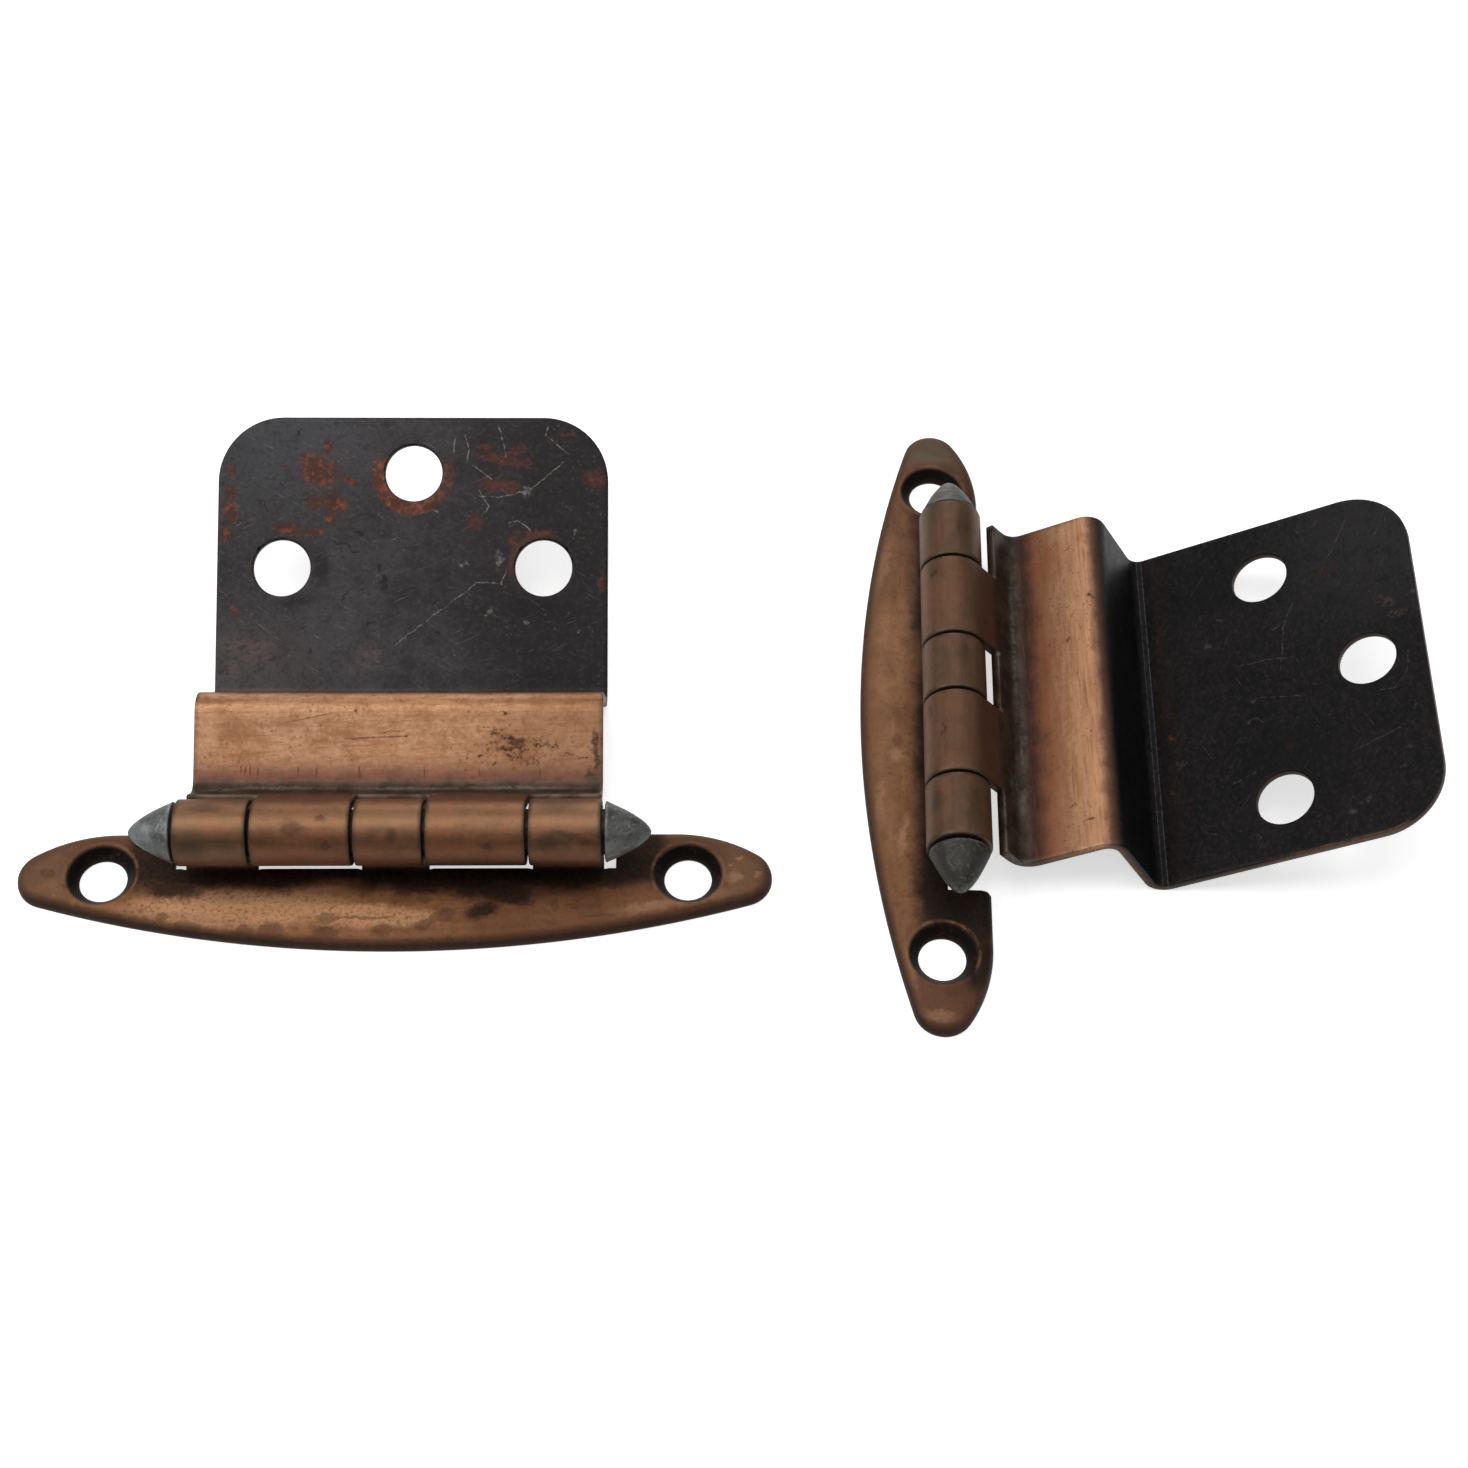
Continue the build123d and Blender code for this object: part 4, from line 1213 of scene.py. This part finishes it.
    on_barrel = step(fold, at["lip"] - 0.9, at["lip"] + 0.1, 1.0, 0.0)
    past_valley = step(scaled(middle, 0.8, fold), at["valley"] - 0.7, at["valley"] + 0.7)
    start = at["brow"] + (1.6 if left else 0.9)
    past_brow = step(scaled(fine, 0.3, fold), start, start + (0.9 if left else 1.3))
    colour = mix(past_valley, mix(on_barrel, valley, barrel), band)
    colour = mix(past_brow, colour, plate)
    back = mix(step(large, 0.36, 0.62), srgb(64, 53, 46), srgb(50, 44, 41))
    back = look.clouds(back, [
        ((82, 66, 54), brushed, 0.44, 0.7, 0.5),
        ((38, 33, 31), fine, 0.46, 0.7, 0.6),
    ])
    back = over(back, (104, 74, 57), step(edge, 0.15, 0.9, 1.0, 0.0), step(middle, 0.36, 0.6, 0.2, 0.8))
    back = over(back, (112, 104, 98), pale, 0.6)
    colour = mix(face, back, colour)
    on_band = mul(past_valley, invert(past_brow))
    rough = look.linear(add(fine, brushed), 0.7, 1.3, 0.42, 0.58)
    rough = add(rough, mul(most(mul(pits, on_band), mul(rust, past_brow)), 0.15))
    normal = look.bump(brushed, 0.08, 0.12)
    normal = look.bump(fine, 0.3, 0.06, normal)
    return look.close(colour, rough, 0.86, normal)


def zinc(side):
    """Dull grey cast metal, scuffed and pitted, darker and browner on the right hinge."""
    look = Look(side + "_finial_zinc", place_of(side))
    mix, over, mul, step, noise = look.mix, look.over, look.mul, look.step, look.noise
    large = noise(0.5, 4, 0.6)
    fine = noise(2.2, 6, 0.74)
    fold = look.attribute("fold")
    if side == "left":
        colour = mix(step(large, 0.36, 0.62), srgb(110, 116, 118), srgb(134, 138, 138))
        colour = over(colour, (86, 83, 76), step(look.x, 5.0, 15.0, 0.0, 0.55))
    else:
        colour = mix(step(large, 0.36, 0.62), srgb(112, 108, 100), srgb(86, 84, 77))
        colour = over(colour, (56, 55, 51), step(look.x, -8.0, 8.0, 0.0, 0.9))
    blotch = step(noise(0.45, 4, 0.6, look.moved(shift=(7, 3, 0))), 0.42, 0.6)
    colour = over(colour, (66, 66, 62) if side == "left" else (50, 49, 45), blotch, 0.6)
    scuffs = look.hairs(2.4, 0.7, 50, 0.52, 0.66)
    colour = over(colour, (132, 134, 130), scuffs, step(fine, 0.38, 0.56), 0.75 if side == "left" else 0.2)
    colour = over(colour, (136, 138, 134), step(fine, 0.52, 0.7, 0.0, 0.4 if side == "left" else 0.2))
    colour = over(colour, (52, 51, 48), step(fine, 0.46, 0.3, 0.0, 0.65))
    rub = mul(step(fold, 0.32, 0.05), step(large, 0.4, 0.6, 0.2, 0.8))
    colour = over(colour, (146, 146, 142), rub, 0.7)
    tip = mul(step(fold, 3.3, 4.1), step(fine, 0.3, 0.7))
    colour = over(colour, (146, 148, 145), tip, 0.4)
    normal = look.bump(large, 0.4, 0.35)
    normal = look.bump(look.sub(fine, mul(scuffs, 0.5)), 0.4, 0.09, normal)
    return look.close(colour, look.linear(fine, 0.3, 0.7, 0.42, 0.6), 0.75, normal)


def pin_steel():
    """Plain dark steel, seen only in the gaps between the knuckles."""
    look = Look("pin_steel_look", Matrix.Identity(4))
    fine = look.noise(1.2, 5, 0.6)
    colour = look.mix(look.step(fine, 0.4, 0.65), srgb(50, 44, 40), srgb(32, 28, 25))
    return look.close(colour, look.linear(fine, 0.3, 0.7, 0.4, 0.6), 0.85, look.bump(fine, 0.15, 0.05))


steel = pin_steel()
for side in ("left", "right"):
    door_leaf(side, door_copper(side))
    frame_leaf(side, frame_copper(side))
    bullet = zinc(side)
    finial(side, "upper", bullet)
    finial(side, "lower", bullet)
    pin = frame["nodes"][side + "_pin"]
    pin.data.materials.clear()
    pin.data.materials.append(steel)
    for polygon in pin.data.polygons:
        polygon.use_smooth = True


# Floor, light and camera


def floor():
    """A pale floor that keeps the shadow; far from the hinges it melts into the white behind."""
    mesh = bpy.data.meshes.new("floor")
    corners = [(x * FLOOR_HALF, y * FLOOR_HALF, 0) for x, y in ((-1, -1), (1, -1), (1, 1), (-1, 1))]
    mesh.from_pydata(corners, [], [(0, 1, 2, 3)])
    obj = add_object("floor", mesh)
    material = bpy.data.materials.new("floor_white")
    material.use_nodes = True
    tree = material.node_tree
    tree.nodes.clear()
    path = wire(tree, "ShaderNodeLightPath", {}).outputs
    place = wire(tree, "ShaderNodeTexCoord", {}).outputs["Object"]
    away = wire(tree, "ShaderNodeVectorMath", {0: place}, operation="LENGTH").outputs["Value"]
    inputs = {0: away, 1: FLOOR_MELTS[0], 2: FLOOR_MELTS[1], 3: FLOOR_SEEN, 4: 1.0}
    seen = wire(tree, "ShaderNodeMapRange", inputs).outputs[0]
    inputs = {0: path["Is Glossy Ray"], 1: FLOOR_MIRRORED}
    mirrored = wire(tree, "ShaderNodeMath", inputs, operation="MULTIPLY").outputs[0]
    inputs = {0: path["Is Camera Ray"], 1: seen, 2: mirrored}
    level = wire(tree, "ShaderNodeMath", inputs, operation="MULTIPLY_ADD").outputs[0]
    glow = wire(tree, "ShaderNodeEmission", {"Strength": level}).outputs[0]
    matte = wire(tree, "ShaderNodeBsdfDiffuse", {"Color": (FLOOR_TONE, FLOOR_TONE, FLOOR_TONE, 1)}).outputs[0]
    both = wire(tree, "ShaderNodeAddShader", {0: matte, 1: glow}).outputs[0]
    wire(tree, "ShaderNodeOutputMaterial", {"Surface": both})
    mesh.materials.append(material)


def soft_light(name, place, power):
    """A square lamp that faces the middle of the pair."""
    data = bpy.data.lights.new(name, "AREA")
    data.shape = "RECTANGLE"
    data.size = data.size_y = LAMP_SIZE
    data.energy = power
    lamp = add_object(name, data)
    lamp.location = place
    lamp.rotation_mode = "QUATERNION"
    lamp.rotation_quaternion = (Vector((0, 0, 0)) - Vector(place)).to_track_quat("-Z", "Y")


def world():
    made = bpy.data.worlds.new("studio")
    bpy.context.scene.world = made
    made.use_nodes = True
    tree = made.node_tree
    seen = wire(tree, "ShaderNodeLightPath", {}).outputs["Is Camera Ray"]
    inputs = {0: seen, 1: 1 - WORLD_LIGHT, 2: WORLD_LIGHT}
    level = wire(tree, "ShaderNodeMath", inputs, operation="MULTIPLY_ADD").outputs[0]
    connect(tree, tree.nodes["Background"], {"Color": (1, 1, 1, 1), "Strength": level})


def camera():
    """From in front and above, almost square to the left hinge."""
    data = bpy.data.cameras.new("camera")
    data.sensor_width = SENSOR
    data.lens = SENSOR * FOCAL / PICTURE
    data.shift_x = (PICTURE / 2 - PICTURE_MIDDLE[0]) / PICTURE
    data.shift_y = (PICTURE_MIDDLE[1] - PICTURE / 2) / PICTURE
    data.clip_start, data.clip_end = 0.01, 20
    obj = add_object("camera", data)
    turn = Matrix(CAMERA_AXES).transposed() @ Matrix(((1, 0, 0), (0, -1, 0), (0, 0, -1)))
    middle = place_of("left").translation
    obj.matrix_world = Matrix.Translation(middle + Vector(CAMERA_PLACE) * MM) @ turn.to_4x4()
    bpy.context.scene.camera = obj


floor()
world()
for lamp in LAMPS:
    soft_light(*lamp)
camera()
bpy.context.scene.view_settings.view_transform = "Standard"
